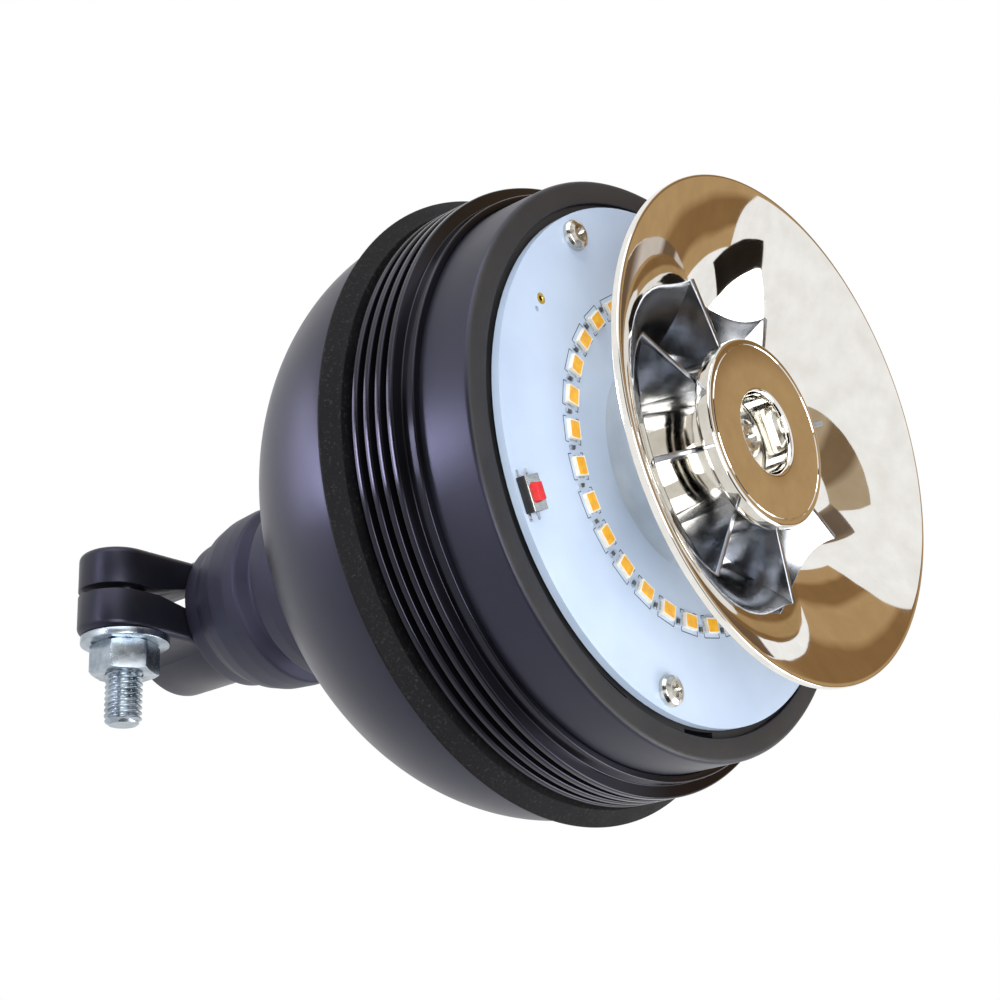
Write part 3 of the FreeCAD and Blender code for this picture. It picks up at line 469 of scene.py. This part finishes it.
def copies_round(piece, count, first_deg, wander_deg=0.0, name="Ring"):
    """The piece repeated round the axis by Geometry Nodes, with a slight wander of each copy."""
    tree = bpy.data.node_groups.new(name, "GeometryNodeTree")
    face = tree.interface
    face.new_socket("Geometry", in_out="OUTPUT", socket_type="NodeSocketGeometry")
    face.new_socket("Geometry", in_out="INPUT", socket_type="NodeSocketGeometry")
    sockets = {
        "Count": face.new_socket("Count", in_out="INPUT", socket_type="NodeSocketInt"),
        "First": face.new_socket("First Angle", in_out="INPUT", socket_type="NodeSocketFloat"),
        "Step": face.new_socket("Step Angle", in_out="INPUT", socket_type="NodeSocketFloat"),
        "Wander": face.new_socket("Wander", in_out="INPUT", socket_type="NodeSocketFloat"),
        "Seed": face.new_socket("Seed", in_out="INPUT", socket_type="NodeSocketInt"),
        "Material": face.new_socket("Material", in_out="INPUT", socket_type="NodeSocketMaterial"),
    }
    given = add(tree, "NodeGroupInput").outputs
    places = add(tree, "GeometryNodePoints", {"Count": given["Count"]})
    index = add(tree, "GeometryNodeInputIndex").outputs["Index"]
    turn = add(tree, "ShaderNodeMath", {0: index, 1: given["Step Angle"], 2: given["First Angle"]},
               operation="MULTIPLY_ADD").outputs["Value"]
    chance = add(tree, "FunctionNodeRandomValue", {"ID": index, "Seed": given["Seed"]}, data_type="FLOAT")
    chance.inputs[2].default_value = -1.0
    chance.inputs[3].default_value = 1.0
    shifted = add(tree, "ShaderNodeMath", {0: chance.outputs[1], 1: given["Wander"], 2: turn},
                  operation="MULTIPLY_ADD").outputs["Value"]
    about = add(tree, "ShaderNodeCombineXYZ", {"Z": shifted}).outputs["Vector"]
    copies = add(tree, "GeometryNodeInstanceOnPoints", {
        "Points": places.outputs[0], "Instance": given["Geometry"], "Rotation": about})
    real = add(tree, "GeometryNodeRealizeInstances", {"Geometry": copies.outputs["Instances"]})
    dressed = add(tree, "GeometryNodeSetMaterial", {
        "Geometry": real.outputs["Geometry"], "Material": given["Material"]})
    add(tree, "NodeGroupOutput", {"Geometry": dressed.outputs["Geometry"]})
    change = piece.modifiers.new(name, "NODES")
    change.node_group = tree
    values = {"Count": count, "First": math.radians(first_deg), "Step": math.tau / count,
              "Wander": math.radians(wander_deg), "Seed": 3, "Material": piece.data.materials[0]}
    for key, value in values.items():
        change[sockets[key].identifier] = value
    return applied(piece)


# ---------------------------------------------------------------- lower shell, band, collar and housing

def make_lower_shell():
    """The bowl: part of an ellipse that ends in a short straight rim."""
    start = math.acos((SHELL_MIDDLE - SEAT) / SHELL_DROP)
    outside = []
    for k in range(61):
        t = start + (math.pi / 2 - start) * k / 60
        outside.append((SHELL_RADIUS * math.sin(t), SHELL_MIDDLE - SHELL_DROP * math.cos(t)))
    drop, width = SHELL_DROP - SHELL_WALL, SHELL_RADIUS - SHELL_WALL
    rim = eased([(SHELL_RADIUS, SHELL_MIDDLE + 0.1), (SHELL_RADIUS, SHELL_RIM, 0.4),
                 (width, SHELL_RIM, 0.3), (width, SHELL_MIDDLE)], closed=False)
    floor = SEAT + SHELL_WALL
    stop = math.acos((SHELL_MIDDLE - floor) / drop)
    inside = []
    for k in range(1, 41):
        t = math.pi / 2 + (stop - math.pi / 2) * k / 40
        inside.append((width * math.sin(t), SHELL_MIDDLE - drop * math.cos(t)))
    hole = [(STUB_HOLE, floor), (STUB_HOLE, SEAT)]
    piece = turned("lower_shell_bowl", outside + rim + inside + hole, BLACK_ABS)
    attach(piece, "head")
    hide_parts("lower_shell")


def make_sealing_band():
    """The rubber band that the lens seats on, with a bevelled outer face."""
    inner = BARREL + 0.1
    outline = eased([(inner, FLANGE_TOP), (BAND_FOOT, FLANGE_TOP, 0.15), (BAND_FOOT, FLANGE_TOP + 0.45, 0.3),
                     (BAND_SHOULDER, BAND_TOP - 0.6, 0.5), (BAND_SHOULDER - 0.5, BAND_TOP, 0.3),
                     (inner, BAND_TOP)])
    piece = turned("sealing_band_ring", outline, BAND_RUBBER)
    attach(piece, "head")
    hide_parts("sealing_band")


def make_ribbed_collar():
    """The collar with four rounded ribs."""
    inner = BARREL + 0.1
    outline = [(inner, BAND_TOP), (RIB_ROOT, BAND_TOP)]
    for k in range(RIB_COUNT):
        middle = BAND_TOP + FIRST_RIB + RIB_PITCH * k
        low, high = middle - RIB_HALF, middle + RIB_HALF
        outline += [(RIB_ROOT, low, 0.2), (RIB_CREST, low + 0.15, 0.42),
                    (RIB_CREST, high - 0.15, 0.42), (RIB_ROOT, high, 0.2)]
    outline += [(RIB_ROOT, COLLAR_TOP, 0.35), (inner, COLLAR_TOP, 0.2)]
    piece = turned("ribbed_collar_ring", eased(outline), GLOSS_BLACK)
    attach(piece, "head")
    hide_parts("ribbed_collar")


def notch_ranges():
    """The cut-outs in the ledge, as (first, last) angles: two beside a screw, and one at the switch."""
    middle = SCREW_ANGLES[1]
    sides = [(middle + side - 4.75, middle + side + 4.75) for side in (-14.2, 14.2)]
    return sides + [(SWITCH_NOTCH - 10.5, SWITCH_NOTCH + 10.5)]


def make_lamp_housing():
    """Skirt, flange, barrel and lip, with the ledge that the board lies on."""
    ranges = notch_ranges()
    edge = 0.04

    def outline(angle):
        cut = any((angle - low) % 360 < (high - low) for low, high in ranges)
        depth = LEDGE - 2.2 if cut else LEDGE
        wall = eased([(SKIRT_INNER, 107.0), (RIB_ROOT, 107.0), (RIB_ROOT, SHELL_RIM),
                      (FLANGE_EDGE, SHELL_RIM, 0.2), (FLANGE_EDGE, FLANGE_TOP, 0.2), (BARREL, FLANGE_TOP),
                      (BARREL, LIP_TOP, 1.0), (LIP_INNER, LIP_TOP, 0.3), (LIP_INNER, LEDGE + 0.01)])
        step = [(LIP_INNER, depth), (BOARD_EDGE + 0.25, depth), (BOARD_EDGE + 0.2, LEDGE)]
        inside = [(LEDGE_INNER, LEDGE), (LEDGE_INNER, 137.9), (52.5, 134.9), (52.5, 109.5),
                  (SKIRT_INNER, 109.5)]
        return wall + step + inside

    angles = [360 * k / ROUND for k in range(ROUND)]
    for low, high in ranges:
        angles += [(low - edge) % 360, (low + edge) % 360, (high - edge) % 360, (high + edge) % 360]
    piece = turned("lamp_housing_body", outline, BLACK_ABS, sorted(angles))
    piece.data.materials.append(LIP_ABS)
    for face in piece.data.polygons:
        middle = face.center / MM
        if face.normal.z > 0.8 and middle.z > LEDGE - 0.2:
            face.material_index = 1
    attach(piece, "head")
    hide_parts("lamp_housing")


# ---------------------------------------------------------------- reflector

def make_reflector():
    """The horn with its hub in one turned piece, and the fins between them."""
    z0 = BOARD_TOP
    bow, wall = 44.2, 1.6
    rim, height, top = 47.0, 23.3, 19.6
    under = [(21.3, z0)] + arc((21.3, z0), (rim - 0.2, z0 + height - wall), bow - wall, -1, 48)
    edge = eased([(rim - 0.2, z0 + height - wall), (rim, z0 + height - wall + 0.2, 0.15),
                  (rim, z0 + height, 0.3), (rim - 0.5, z0 + height)], closed=False)[1:]
    bowl = arc((rim - 0.5, z0 + height), (20.3, z0 + wall), bow, 1, 56)
    hub = eased([(20.3, z0 + wall), (16.5, z0 + wall, 0.5), (15.0, z0 + top - 3.4, 0.4),
                 (17.5, z0 + top - 3.4, 0.8), (17.5, z0 + top, 0.9), (16.35, z0 + top),
                 (16.25, z0 + top - 0.12), (16.1, z0 + top - 0.12),
                 (16.0, z0 + top), (7.5, z0 + top, 0.9), (7.5, z0 + 13.0, 0.2), (2.15, z0 + 13.0),
                 (2.15, z0 + 11.0), (9.1, z0 + 11.0), (9.1, z0 + 17.8), (13.2, z0 + 17.8), (14.7, z0)],
                steps=6, closed=False)[1:]
    horn = turned("reflector_horn", under + edge + bowl + hub, MIRROR, sharp_deg=50.0)

    build = bmesh.new()
    curve = arc((20.3 + 0.5, z0 + 0.9), (31.6, z0 + 13.9), bow - wall / 2, -1, 14)
    outline = [(14.4, z0 + 15.95), (15.8, z0 + 0.9), (20.8, z0 + 0.9)] + curve + [(31.35, z0 + 14.35)]
    upright = Matrix(((1, 0, 0, 0), (0, 0, -1, 0), (0, 1, 0, 0), (0, 0, 0, 1)))
    prism(build, outline, -0.5, 0.5, upright)
    # the fins take the mirror film with a painted reflection of the dark surroundings as a greyer colour
    fin = finish_mesh("reflector_fins", build, PAINTED_REFLECTION_FIN_MIRROR)
    bevelled(fin, 0.16, 3)
    resharpened(copies_round(fin, 8, 22.3, name="Fins"), 50.0)
    for piece in (horn, fin):
        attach(piece, "head")
        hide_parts("reflector")


def pan_head_screw(name, x, y, seat, radius, head, head_height, length, spin_deg, material):
    """A pan-head screw with a tapered cross recess, its head resting on the level called seat."""
    outline = [(0.0, seat - length), (radius * 0.3, seat - length), (radius, seat - length + radius),
               (radius, seat), (head, seat, 0.12), (head, seat + head_height * 0.42, 0.2),
               (head * 0.9, seat + head_height * 0.74, 0.3), (head * 0.62, seat + head_height * 0.97, 0.4),
               (0.0, seat + head_height)]
    points = eased(outline, closed=False)
    build = bmesh.new()
    steps = 64
    rings = []
    for k in range(steps):
        a = math.tau * k / steps
        rings.append([build.verts.new((r * math.cos(a), r * math.sin(a), z)) for r, z in points])
    for k in range(steps):
        here, there = rings[k], rings[(k + 1) % steps]
        for i in range(len(points) - 1):
            build.faces.new((here[i], here[i + 1], there[i + 1], there[i]))
    bmesh.ops.remove_doubles(build, verts=build.verts, dist=1e-4)
    bmesh.ops.translate(build, verts=build.verts, vec=(x, y, 0))
    piece = finish_mesh(name, build, material, 40.0)

    cut = bmesh.new()
    top = seat + head_height + 0.3
    low = seat + head_height - min(1.25, head_height * 0.62)
    wide, narrow = head * 0.56, head * 0.26
    for quarter in (0, 90):
        turn = Matrix.Translation((x, y, 0)) @ Matrix.Rotation(math.radians(spin_deg + quarter), 4, "Z")
        half = head * 0.135
        corners = ((-1, -1), (1, -1), (1, 1), (-1, 1))
        a, b = ([cut.verts.new(turn @ Vector((sx * reach, sy * across, z))) for sx, sy in corners]
                for reach, across, z in ((wide, half * 1.1, top), (narrow, half * 0.8, low)))
        cut.faces.new(a)
        cut.faces.new(b[::-1])
        for i in range(4):
            j = (i + 1) % 4
            cut.faces.new((a[i], b[i], b[j], a[j]))
    cutter = finish_mesh(name + "_cutter", cut, material)
    change = piece.modifiers.new("Cut", "BOOLEAN")
    change.operation = "DIFFERENCE"
    change.solver = "EXACT"
    change.use_self = True
    change.object = cutter
    applied(piece)
    bpy.data.objects.remove(cutter)
    return resharpened(piece, 40.0)


def make_screws():
    """The board's screws and the reflector's, each with its cross recess."""
    for number, angle in enumerate(SCREW_ANGLES, start=1):
        a = math.radians(angle)
        piece = pan_head_screw(f"board_screw_{number}", SCREW_RING * math.cos(a), SCREW_RING * math.sin(a),
                               BOARD_TOP, 1.45, 2.9, 1.9, 10.0, 25.0 + 31 * number, NICKEL)
        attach(piece, "head")
        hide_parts("board_screws")
    piece = pan_head_screw("reflector_screw_cross", 0, 0, BOARD_TOP + 13.8, 1.95, 4.0, 2.4, 19.8, 12.0,
                           NICKEL)
    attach(piece, "head")
    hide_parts("reflector_screw")


# ---------------------------------------------------------------- what is on the board

def make_leds():
    """One LED of each kind is made on the X axis, and then repeated round the ring."""
    build = bmesh.new()
    z = BOARD_TOP
    x0, x1, y1 = LED_RING - 1.4, LED_RING + 1.4, 1.75
    outer = [(x0, -y1, 0.12), (x1, -y1, 0.12), (x1, y1, 0.12), (x0, y1, 0.12)]
    base = eased(outer, 3)
    inset = 0.2
    rim = eased([(x0 + inset, -y1 + inset, 0.3), (x1 - inset, -y1 + inset, 0.3),
                 (x1 - inset, y1 - inset, 0.3), (x0 + inset, y1 - inset, 0.3)], 3)
    deep = eased([(x0 + 0.38, -y1 + 0.38, 0.25), (x1 - 0.38, -y1 + 0.38, 0.25),
                  (x1 - 0.38, y1 - 0.38, 0.25), (x0 + 0.38, y1 - 0.38, 0.25)], 3)
    levels = [(base, z), (base, z + 0.7), (rim, z + 0.75), (deep, z + 0.35)]
    rings = [[build.verts.new((x, y, level)) for x, y in shape] for shape, level in levels]
    build.faces.new(rings[0][::-1])
    build.faces.new(rings[-1])
    count = len(base)
    for below, above in zip(rings, rings[1:]):
        for i in range(count):
            j = (i + 1) % count
            build.faces.new((below[i], below[j], above[j], above[i]))
    body = finish_mesh("led_package_bodies", build, LED_WHITE)
    copies_round(body, LED_COUNT, LED_FIRST, wander_deg=0.12, name="Leds")

    build = bmesh.new()
    gel = eased([(x0 + 0.24, -y1 + 0.24, 0.3), (x1 - 0.24, -y1 + 0.24, 0.3),
                 (x1 - 0.24, y1 - 0.24, 0.3), (x0 + 0.24, y1 - 0.24, 0.3)], 3)
    low = [build.verts.new((x, y, z + 0.4)) for x, y in gel]
    high = [build.verts.new((x, y, z + 0.68)) for x, y in gel]
    middle = build.verts.new((LED_RING, 0, z + 0.74))
    build.faces.new(low[::-1])
    for i in range(count):
        j = (i + 1) % count
        build.faces.new((low[i], low[j], high[j], high[i]))
        build.faces.new((high[i], high[j], middle))
    gel_piece = finish_mesh("led_phosphor_gel", build, PHOSPHOR)
    copies_round(gel_piece, LED_COUNT, LED_FIRST, wander_deg=0.12, name="Gels")

    build = bmesh.new()
    for side in (-1, 1):
        block(build, (1.7, 0.35, 0.12), (LED_RING, side * 1.88, z + 0.06))
    ends = finish_mesh("led_solder_ends", build, SOLDER)
    copies_round(ends, LED_COUNT, LED_FIRST, wander_deg=0.12, name="Ends")

    build = bmesh.new()
    line, thick = 0.16, 0.02
    block(build, (line, 4.7, thick), (LED_RING + 2.2, 0, z + thick / 2))
    for side in (-1, 1):
        block(build, (0.9, line, thick), (LED_RING + 1.75, side * 2.35, z + thick / 2))
        block(build, (0.7, line, thick), (LED_RING - 1.6, side * 2.35, z + thick / 2))
    block(build, (line, 1.0, thick), (LED_RING - 1.9, 1.85, z + thick / 2))
    block(build, (line, 1.0, thick), (LED_RING - 1.9, -1.85, z + thick / 2))
    marks = finish_mesh("board_print_marks", build, PRINT_DARK)
    copies_round(marks, LED_COUNT, LED_FIRST, wander_deg=0.05, name="Marks")

    build = bmesh.new()
    block(build, (1.2, 0.7, 0.4), (LED_RING + 0.9, 0, z + 0.2), 0.05)
    chips = finish_mesh("chip_resistor_bodies", build, CHIP_GREY)
    bevelled(chips, 0.04)
    copies_round(chips, LED_COUNT, LED_FIRST + 180 / LED_COUNT, wander_deg=0.25, name="Chips")
    build = bmesh.new()
    for side in (-1, 1):
        block(build, (0.3, 0.76, 0.42), (LED_RING + 0.9 + side * 0.6, 0, z + 0.21), 0.05)
    chip_ends = finish_mesh("chip_resistor_ends", build, SOLDER)
    copies_round(chip_ends, LED_COUNT, LED_FIRST + 180 / LED_COUNT, wander_deg=0.25, name="ChipEnds")

    for piece, replaced, slot in (
            (body, "led_packages", "led_body"), (gel_piece, "led_phosphors", "led_phosphor"),
            (ends, None, "zinc"), (marks, None, "switch_black"),
            (chips, None, "ferrite"), (chip_ends, None, "zinc")):
        resharpened(piece)
        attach(piece, "head")
        if replaced:
            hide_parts(replaced)


def make_board_details():
    """The plated hole's ring and the solder pads by the switch."""
    build = bmesh.new()
    a = math.radians(241.1)
    x, y = 42.6 * math.cos(a), 42.6 * math.sin(a)
    steps = 32
    rings = []
    for k in range(steps):
        c, s = math.cos(math.tau * k / steps), math.sin(math.tau * k / steps)
        rings.append([build.verts.new((x + r * c, y + r * s, z)) for r, z in (
            (0.5, BOARD_TOP - 1.5), (1.05, BOARD_TOP - 0.01), (1.05, BOARD_TOP + 0.03),
            (0.55, BOARD_TOP + 0.03), (0.45, BOARD_TOP - 0.1), (0.42, BOARD_TOP - 1.5))])
    for k in range(steps):
        here, there = rings[k], rings[(k + 1) % steps]
        for i in range(6):
            j = (i + 1) % 6
            build.faces.new((here[i], here[j], there[j], there[i]))
    pad = finish_mesh("plated_hole_ring", build, GOLD)
    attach(pad, "head")

    build = bmesh.new()
    turn = Matrix.Rotation(math.radians(SWITCH_ANGLE), 4, "Z")
    for side in (-1, 1):
        for inset in (-1.15, 1.15):
            block(build, (0.8, 1.5, 0.18), (SWITCH_RING + inset, side * 3.7, BOARD_TOP + 0.09), 0.2, turn)
    pads = finish_mesh("switch_solder_pads", build, SOLDER)
    bevelled(pads, 0.08)
    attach(resharpened(pads), "head")


def make_switch():
    """Body, pressed cover and button of the switch, from their solids."""
    for node, width, material in (("switch_body", 0.08, SWITCH_BLACK), ("switch_cover", 0.06, NICKEL),
                                  ("mode_button", 0.15, BUTTON_RED)):
        piece = softened(node, width, material, node + "_eased")
        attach(piece, "mode_button" if node == "mode_button" else "head")
        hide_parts(node)


# ---------------------------------------------------------------- neck

def make_neck():
    """The rubber neck in two skins that meet in its waist."""
    waist = 44.5
    cuff, channel, pocket = 14.4, 5.2, 14.1
    lower = eased([(cuff, 21.5, 0.2), (16.5, 21.5, 0.6), (16.9, 26.0, 1.2), (18.7, 29.5, 2.0),
                   (19.6, 33.0, 4.0), (20.0, 38.0, 3.0), (20.0, 41.7, 1.2), (17.4, 43.6, 0.8),
                   (17.3, waist)], 6, closed=False)
    lower += [(channel, waist), (channel, 34.0), (cuff, 34.0)]
    upper = eased([(17.3, waist), (17.3, 45.2, 0.8), (20.3, 47.3, 1.2), (20.8, 51.0, 3.0),
                   (21.3, SEAT - 0.7, 0.5), (21.3, SEAT, 0.3), (pocket, SEAT)], 6, closed=False)
    upper += [(pocket, 62.0), (channel, 62.0), (channel, waist)]

    def fine(outline, step=0.8):
        made = []
        for (r0, z0), (r1, z1) in zip(outline, outline[1:] + outline[:1]):
            parts = max(1, int(abs(z1 - z0) / step))
            made += [(r0 + (r1 - r0) * k / parts, z0 + (z1 - z0) * k / parts) for k in range(parts)]
        return made

    skins = (("neck_skin_lower", lower, "clamp", "neck", 34.0, waist),
             ("neck_skin_upper", upper, "neck", "head", waist, 62.0))
    for name, outline, below, above, start, end in skins:
        piece = turned(name, fine(outline), NECK_RUBBER, [360 * k / 160 for k in range(160)])
        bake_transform(piece)
        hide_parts("flexible_neck")


# ---------------------------------------------------------------- clamp

def make_contact_spring():
    """The coil behind the centre contact, made once to fill the spring's box."""
    low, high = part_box("contact_spring")
    wire, pitch, sides = 0.3, 1.35, 10
    foot, top, radius = low[2] / MM + wire, high[2] / MM - wire, high[0] / MM - wire
    turns = (top - foot) / pitch
    steps = int(turns * 40)
    build = bmesh.new()
    rings = []
    for k in range(steps + 1):
        a = math.tau * turns * k / steps
        out = Vector((math.cos(a), math.sin(a), 0.0))
        centre = out * radius + Vector((0, 0, foot + (top - foot) * k / steps))
        around = [math.tau * i / sides for i in range(sides)]
        rings.append([build.verts.new(centre + out * wire * math.cos(b) + Vector((0, 0, wire * math.sin(b))))
                      for b in around])
    for first, second in zip(rings, rings[1:]):
        for i in range(sides):
            j = (i + 1) % sides
            build.faces.new((first[i], first[j], second[j], second[i]))
    build.faces.new(rings[0][::-1])
    build.faces.new(rings[-1])
    piece = finish_mesh("contact_spring_coil", build, SPRING_STEEL)
    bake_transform(piece)
    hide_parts("contact_spring")


def make_clamp():
    """The split socket, from its solid, with its edges eased."""
    piece = softened("pole_clamp", 0.3, CLAMP_NYLON, "pole_clamp_body")
    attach(piece, "clamp")
    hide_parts("pole_clamp")


def threaded(build, major, minor, pitch, low, high):
    """A threaded shank along Z, as one closed surface."""
    steps = 72
    levels = max(2, int((high - low) / pitch * 10))
    rings = []
    for i in range(levels + 1):
        z = low + (high - low) * i / levels
        ring = []
        for k in range(steps):
            phase = (z / pitch - k / steps) % 1.0
            tooth = min(1.0, max(0.0, 1.6 * abs(2 * phase - 1) - 0.3))
            fade = min(1.0, (high - z) / (pitch * 0.8), (z - low) / (pitch * 0.8) + 0.2)
            r = minor + (major - minor) * tooth * max(0.0, fade)
            r -= max(0.0, z - (high - 0.5)) * 0.8
            a = math.tau * k / steps
            ring.append(build.verts.new((r * math.cos(a), r * math.sin(a), z)))
        rings.append(ring)
    for here, there in zip(rings, rings[1:]):
        for k in range(steps):
            j = (k + 1) % steps
            build.faces.new((here[k], here[j], there[j], there[k]))
    build.faces.new(rings[0][::-1])
    build.faces.new(rings[-1])


def make_bolt():
    """The bolt with a real thread, its washer and its nut."""
    build = bmesh.new()
    threaded(build, BOLT_CREST, BOLT_ROOT, BOLT_PITCH, 2.0, BOLT_END)
    reach = HEX_FLATS / math.sqrt(3)
    corners = [(reach * math.cos(math.radians(60 * k)), reach * math.sin(math.radians(60 * k)))
               for k in range(6)]
    prism(build, corners, -8.7, -3.4)
    ring = [(3.98 * math.cos(math.tau * k / 72), 3.98 * math.sin(math.tau * k / 72)) for k in range(72)]
    prism(build, ring, -3.5, 2.4)
    along_x = Matrix.Translation((0, BOLT_Y, BOLT_Z)) @ Matrix.Rotation(math.radians(90), 4, "Y")
    bmesh.ops.transform(build, matrix=along_x, verts=build.verts)
    piece = finish_mesh("clamp_bolt_threaded", build, ZINC, 30.0)
    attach(piece, "clamp")
    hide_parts("clamp_bolt")
    for node, width, body in (("clamp_washer", 0.18, "clamp_washer"), ("clamp_nut", 0.15, "clamp_nut")):
        piece = softened(node, width, ZINC, node + "_eased")
        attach(piece, body)
        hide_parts(node)


def dress_cad_nodes():
    """Materials of the CAD nodes that show as they are."""
    finishes = {
        "led_board": WHITE_MASK, "reflector_washer": NICKEL, "reflector_nut": ZINC, "housing_screws": ZINC,
        "neck_stub": ZINC, "neck_washer": ZINC, "neck_nut": ZINC, "contact_carrier": NATURAL_NYLON,
        "centre_contact": BRASS, "earth_ring": BRASS,
        "driver_capacitor": DARK_SLEEVE, "driver_coil": FERRITE,
    }
    for node, material in finishes.items():
        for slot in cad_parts[node].material_slots:
            slot.material = material


# ---------------------------------------------------------------- floor, light and camera

def white_to_view(material_or_world, base_socket, output_kind):
    """Adds plain white for what the camera, mirrors and glass see of it."""
    tree = material_or_world.node_tree
    path = add(tree, "ShaderNodeLightPath").outputs
    seen = path["Is Camera Ray"]
    for kind in ("Is Glossy Ray", "Is Transmission Ray"):
        seen = add(tree, "ShaderNodeMath", {0: seen, 1: path[kind]}, operation="MAXIMUM").outputs["Value"]
    white_kind = "ShaderNodeBackground" if output_kind == "ShaderNodeOutputWorld" else "ShaderNodeEmission"
    white = add(tree, white_kind, {"Color": colour("#ffffff"), "Strength": 1.0})
    mixed = add(tree, "ShaderNodeMixShader", {0: seen, 1: base_socket, 2: white.outputs[0]})
    add(tree, output_kind, {"Surface": mixed.outputs[0]})


def bare_material(name):
    """A material with nothing in its tree yet."""
    made = bpy.data.materials.new(name)
    made.use_nodes = True
    made.node_tree.nodes.clear()
    return made


def make_stage():
    """White surroundings and a pale floor."""
    world = bpy.data.worlds.new("Studio")
    bpy.context.scene.world = world
    world.use_nodes = True
    world.node_tree.nodes.clear()
    ambient = add(world.node_tree, "ShaderNodeBackground", {"Color": colour("#e8eef8"), "Strength": 0.45})
    white_to_view(world, ambient.outputs[0], "ShaderNodeOutputWorld")

    build = bmesh.new()
    block(build, (6000, 6000, 4), (0, 0, -4.0))
    material = bare_material("pale_floor")
    paint = add(material.node_tree, "ShaderNodeBsdfDiffuse", {"Color": colour("#f2f2f2")})
    white_to_view(material, paint.outputs[0], "ShaderNodeOutputMaterial")
    floor = finish_mesh("floor", build, material)


def glowing_card(name, build, material, tint, strength):
    """A card of the studio that only polished surfaces see."""
    paint = add(material.node_tree, "ShaderNodeEmission", {"Color": tint, "Strength": strength})
    add(material.node_tree, "ShaderNodeOutputMaterial", {"Surface": paint.outputs[0]})
    card = finish_mesh(name, build, material)
    card.visible_camera = False
    card.visible_diffuse = False
    card.visible_transmission = False
    card.visible_shadow = False


def room_card(name, azimuth, elevation, width, height, low, high, fold_mm=None):
    """A painted card standing off in this direction, plain or hung in folds of about this width."""
    build = bmesh.new()
    block(build, (width, height, 4.0), (0, 0, 0))
    a, e = math.radians(azimuth), math.radians(elevation)
    out = Vector((math.cos(e) * math.cos(a), math.cos(e) * math.sin(a), math.sin(e)))
    across = Vector((-math.sin(a), math.cos(a), 0.0))
    turn = Matrix((across, out.cross(across), out)).transposed().to_4x4()
    build.transform(Matrix.Translation(Vector((0, 0, HEAD_MIDDLE)) + out * CARD_DISTANCE) @ turn)
    material = bare_material(name + "_paint")
    tree = material.node_tree
    if fold_mm:
        where = add(tree, "ShaderNodeMapping", {"Vector": place(tree), "Rotation": (0.0, 0.0, -a)})
        folds = add(tree, "ShaderNodeTexWave", {
            "Vector": where.outputs["Vector"], "Scale": 1000.0 / (20.0 * fold_mm), "Distortion": 3.0,
            "Detail": 3.0, "Detail Scale": 1.5}, bands_direction="Y")
        value = folds.outputs["Fac"]
    else:
        value = noise(tree, 500.0, 3.0)
    glowing_card(name, build, material, ramp(tree, value, [(0.3, low), (0.7, high)]), 1.0)


def light_panel(name, size, centre, strength):
    """A small light panel lying in front, for the soft streaks on the bowl and the barrel."""
    build = bmesh.new()
    block(build, (*size, 2.0), (*centre, 2.0))
    glowing_card(name, build, bare_material(name + "_paint"), colour("#eceaff"), strength)


def area_light(name, energy, size, place_mm):
    """A square white softbox of this size in metres, aimed at the head."""
    data = bpy.data.lights.new(name, "AREA")
    data.energy = energy
    data.size = size
    made = bpy.data.objects.new(name, data)
    made.location = Vector(place_mm) * MM
    made.rotation_euler = (Vector(LAMP_AIM) - Vector(place_mm)).to_track_quat("-Z", "Y").to_euler()
    bpy.context.scene.collection.objects.link(made)


def make_camera():
    """Near the board, above it and to the side of the clamp bolt, with the object lying on its side."""
    right = Vector((0.0415, 0.6666, 0.7443))
    down = Vector((0.9345, 0.2376, -0.2649))
    forward = Vector((-0.3534, 0.7065, -0.6131))
    data = bpy.data.cameras.new("Camera")
    data.sensor_width = 36.0
    data.lens = 67.96
    made = bpy.data.objects.new("Camera", data)
    turn = Matrix((right, -down, -forward)).transposed().to_4x4()
    made.matrix_world = Matrix.Translation(Vector((127.69, -265.32, 329.40)) * MM) @ turn
    bpy.context.scene.collection.objects.link(made)
    bpy.context.scene.camera = made
    bpy.context.scene.view_settings.view_transform = "Standard"


make_lower_shell()
make_sealing_band()
make_ribbed_collar()
make_lamp_housing()
make_reflector()
make_screws()
make_leds()
make_board_details()
make_switch()
make_neck()
make_contact_spring()
make_clamp()
make_bolt()
dress_cad_nodes()
make_stage()
make_camera()
# What the mirror and the black plastic reflect: a tan wall behind, dark flags beside the camera.
room_card("tan_wall", 126, 27, 2350, 900, "#8c6b45", "#b8986c", 110.0)
room_card("tan_skirting", 104, 2, 760, 420, "#6f5a45", "#cfc4bc", 60.0)
room_card("tan_ceiling", -115, 68, 1300, 560, "#806a50", "#b5a287", 160.0)
room_card("tan_corner", -163, 46, 460, 420, "#6f5f52", "#97836c", 120.0)
room_card("dark_door", 70, 36, 460, 560, "#16120f", "#2c251f")
room_card("flag_left", -120, 22, 1900, 1100, "#050507", "#0c0c10")
room_card("flag_right", -30, 22, 1900, 1300, "#050507", "#0c0c10")
room_card("flag_over_camera", -75, 46, 2300, 330, "#050507", "#101014")
light_panel("panel_near", (100, 70), (-42, -150), 6.5)
light_panel("panel_far", (70, 70), (-24, -232), 26.0)
area_light("key", 6.0, 0.5, (300, -500, 700))
area_light("fill", 3.0, 0.6, (-500, -400, 300))
area_light("rim", 3.0, 0.4, (400, 400, 500))
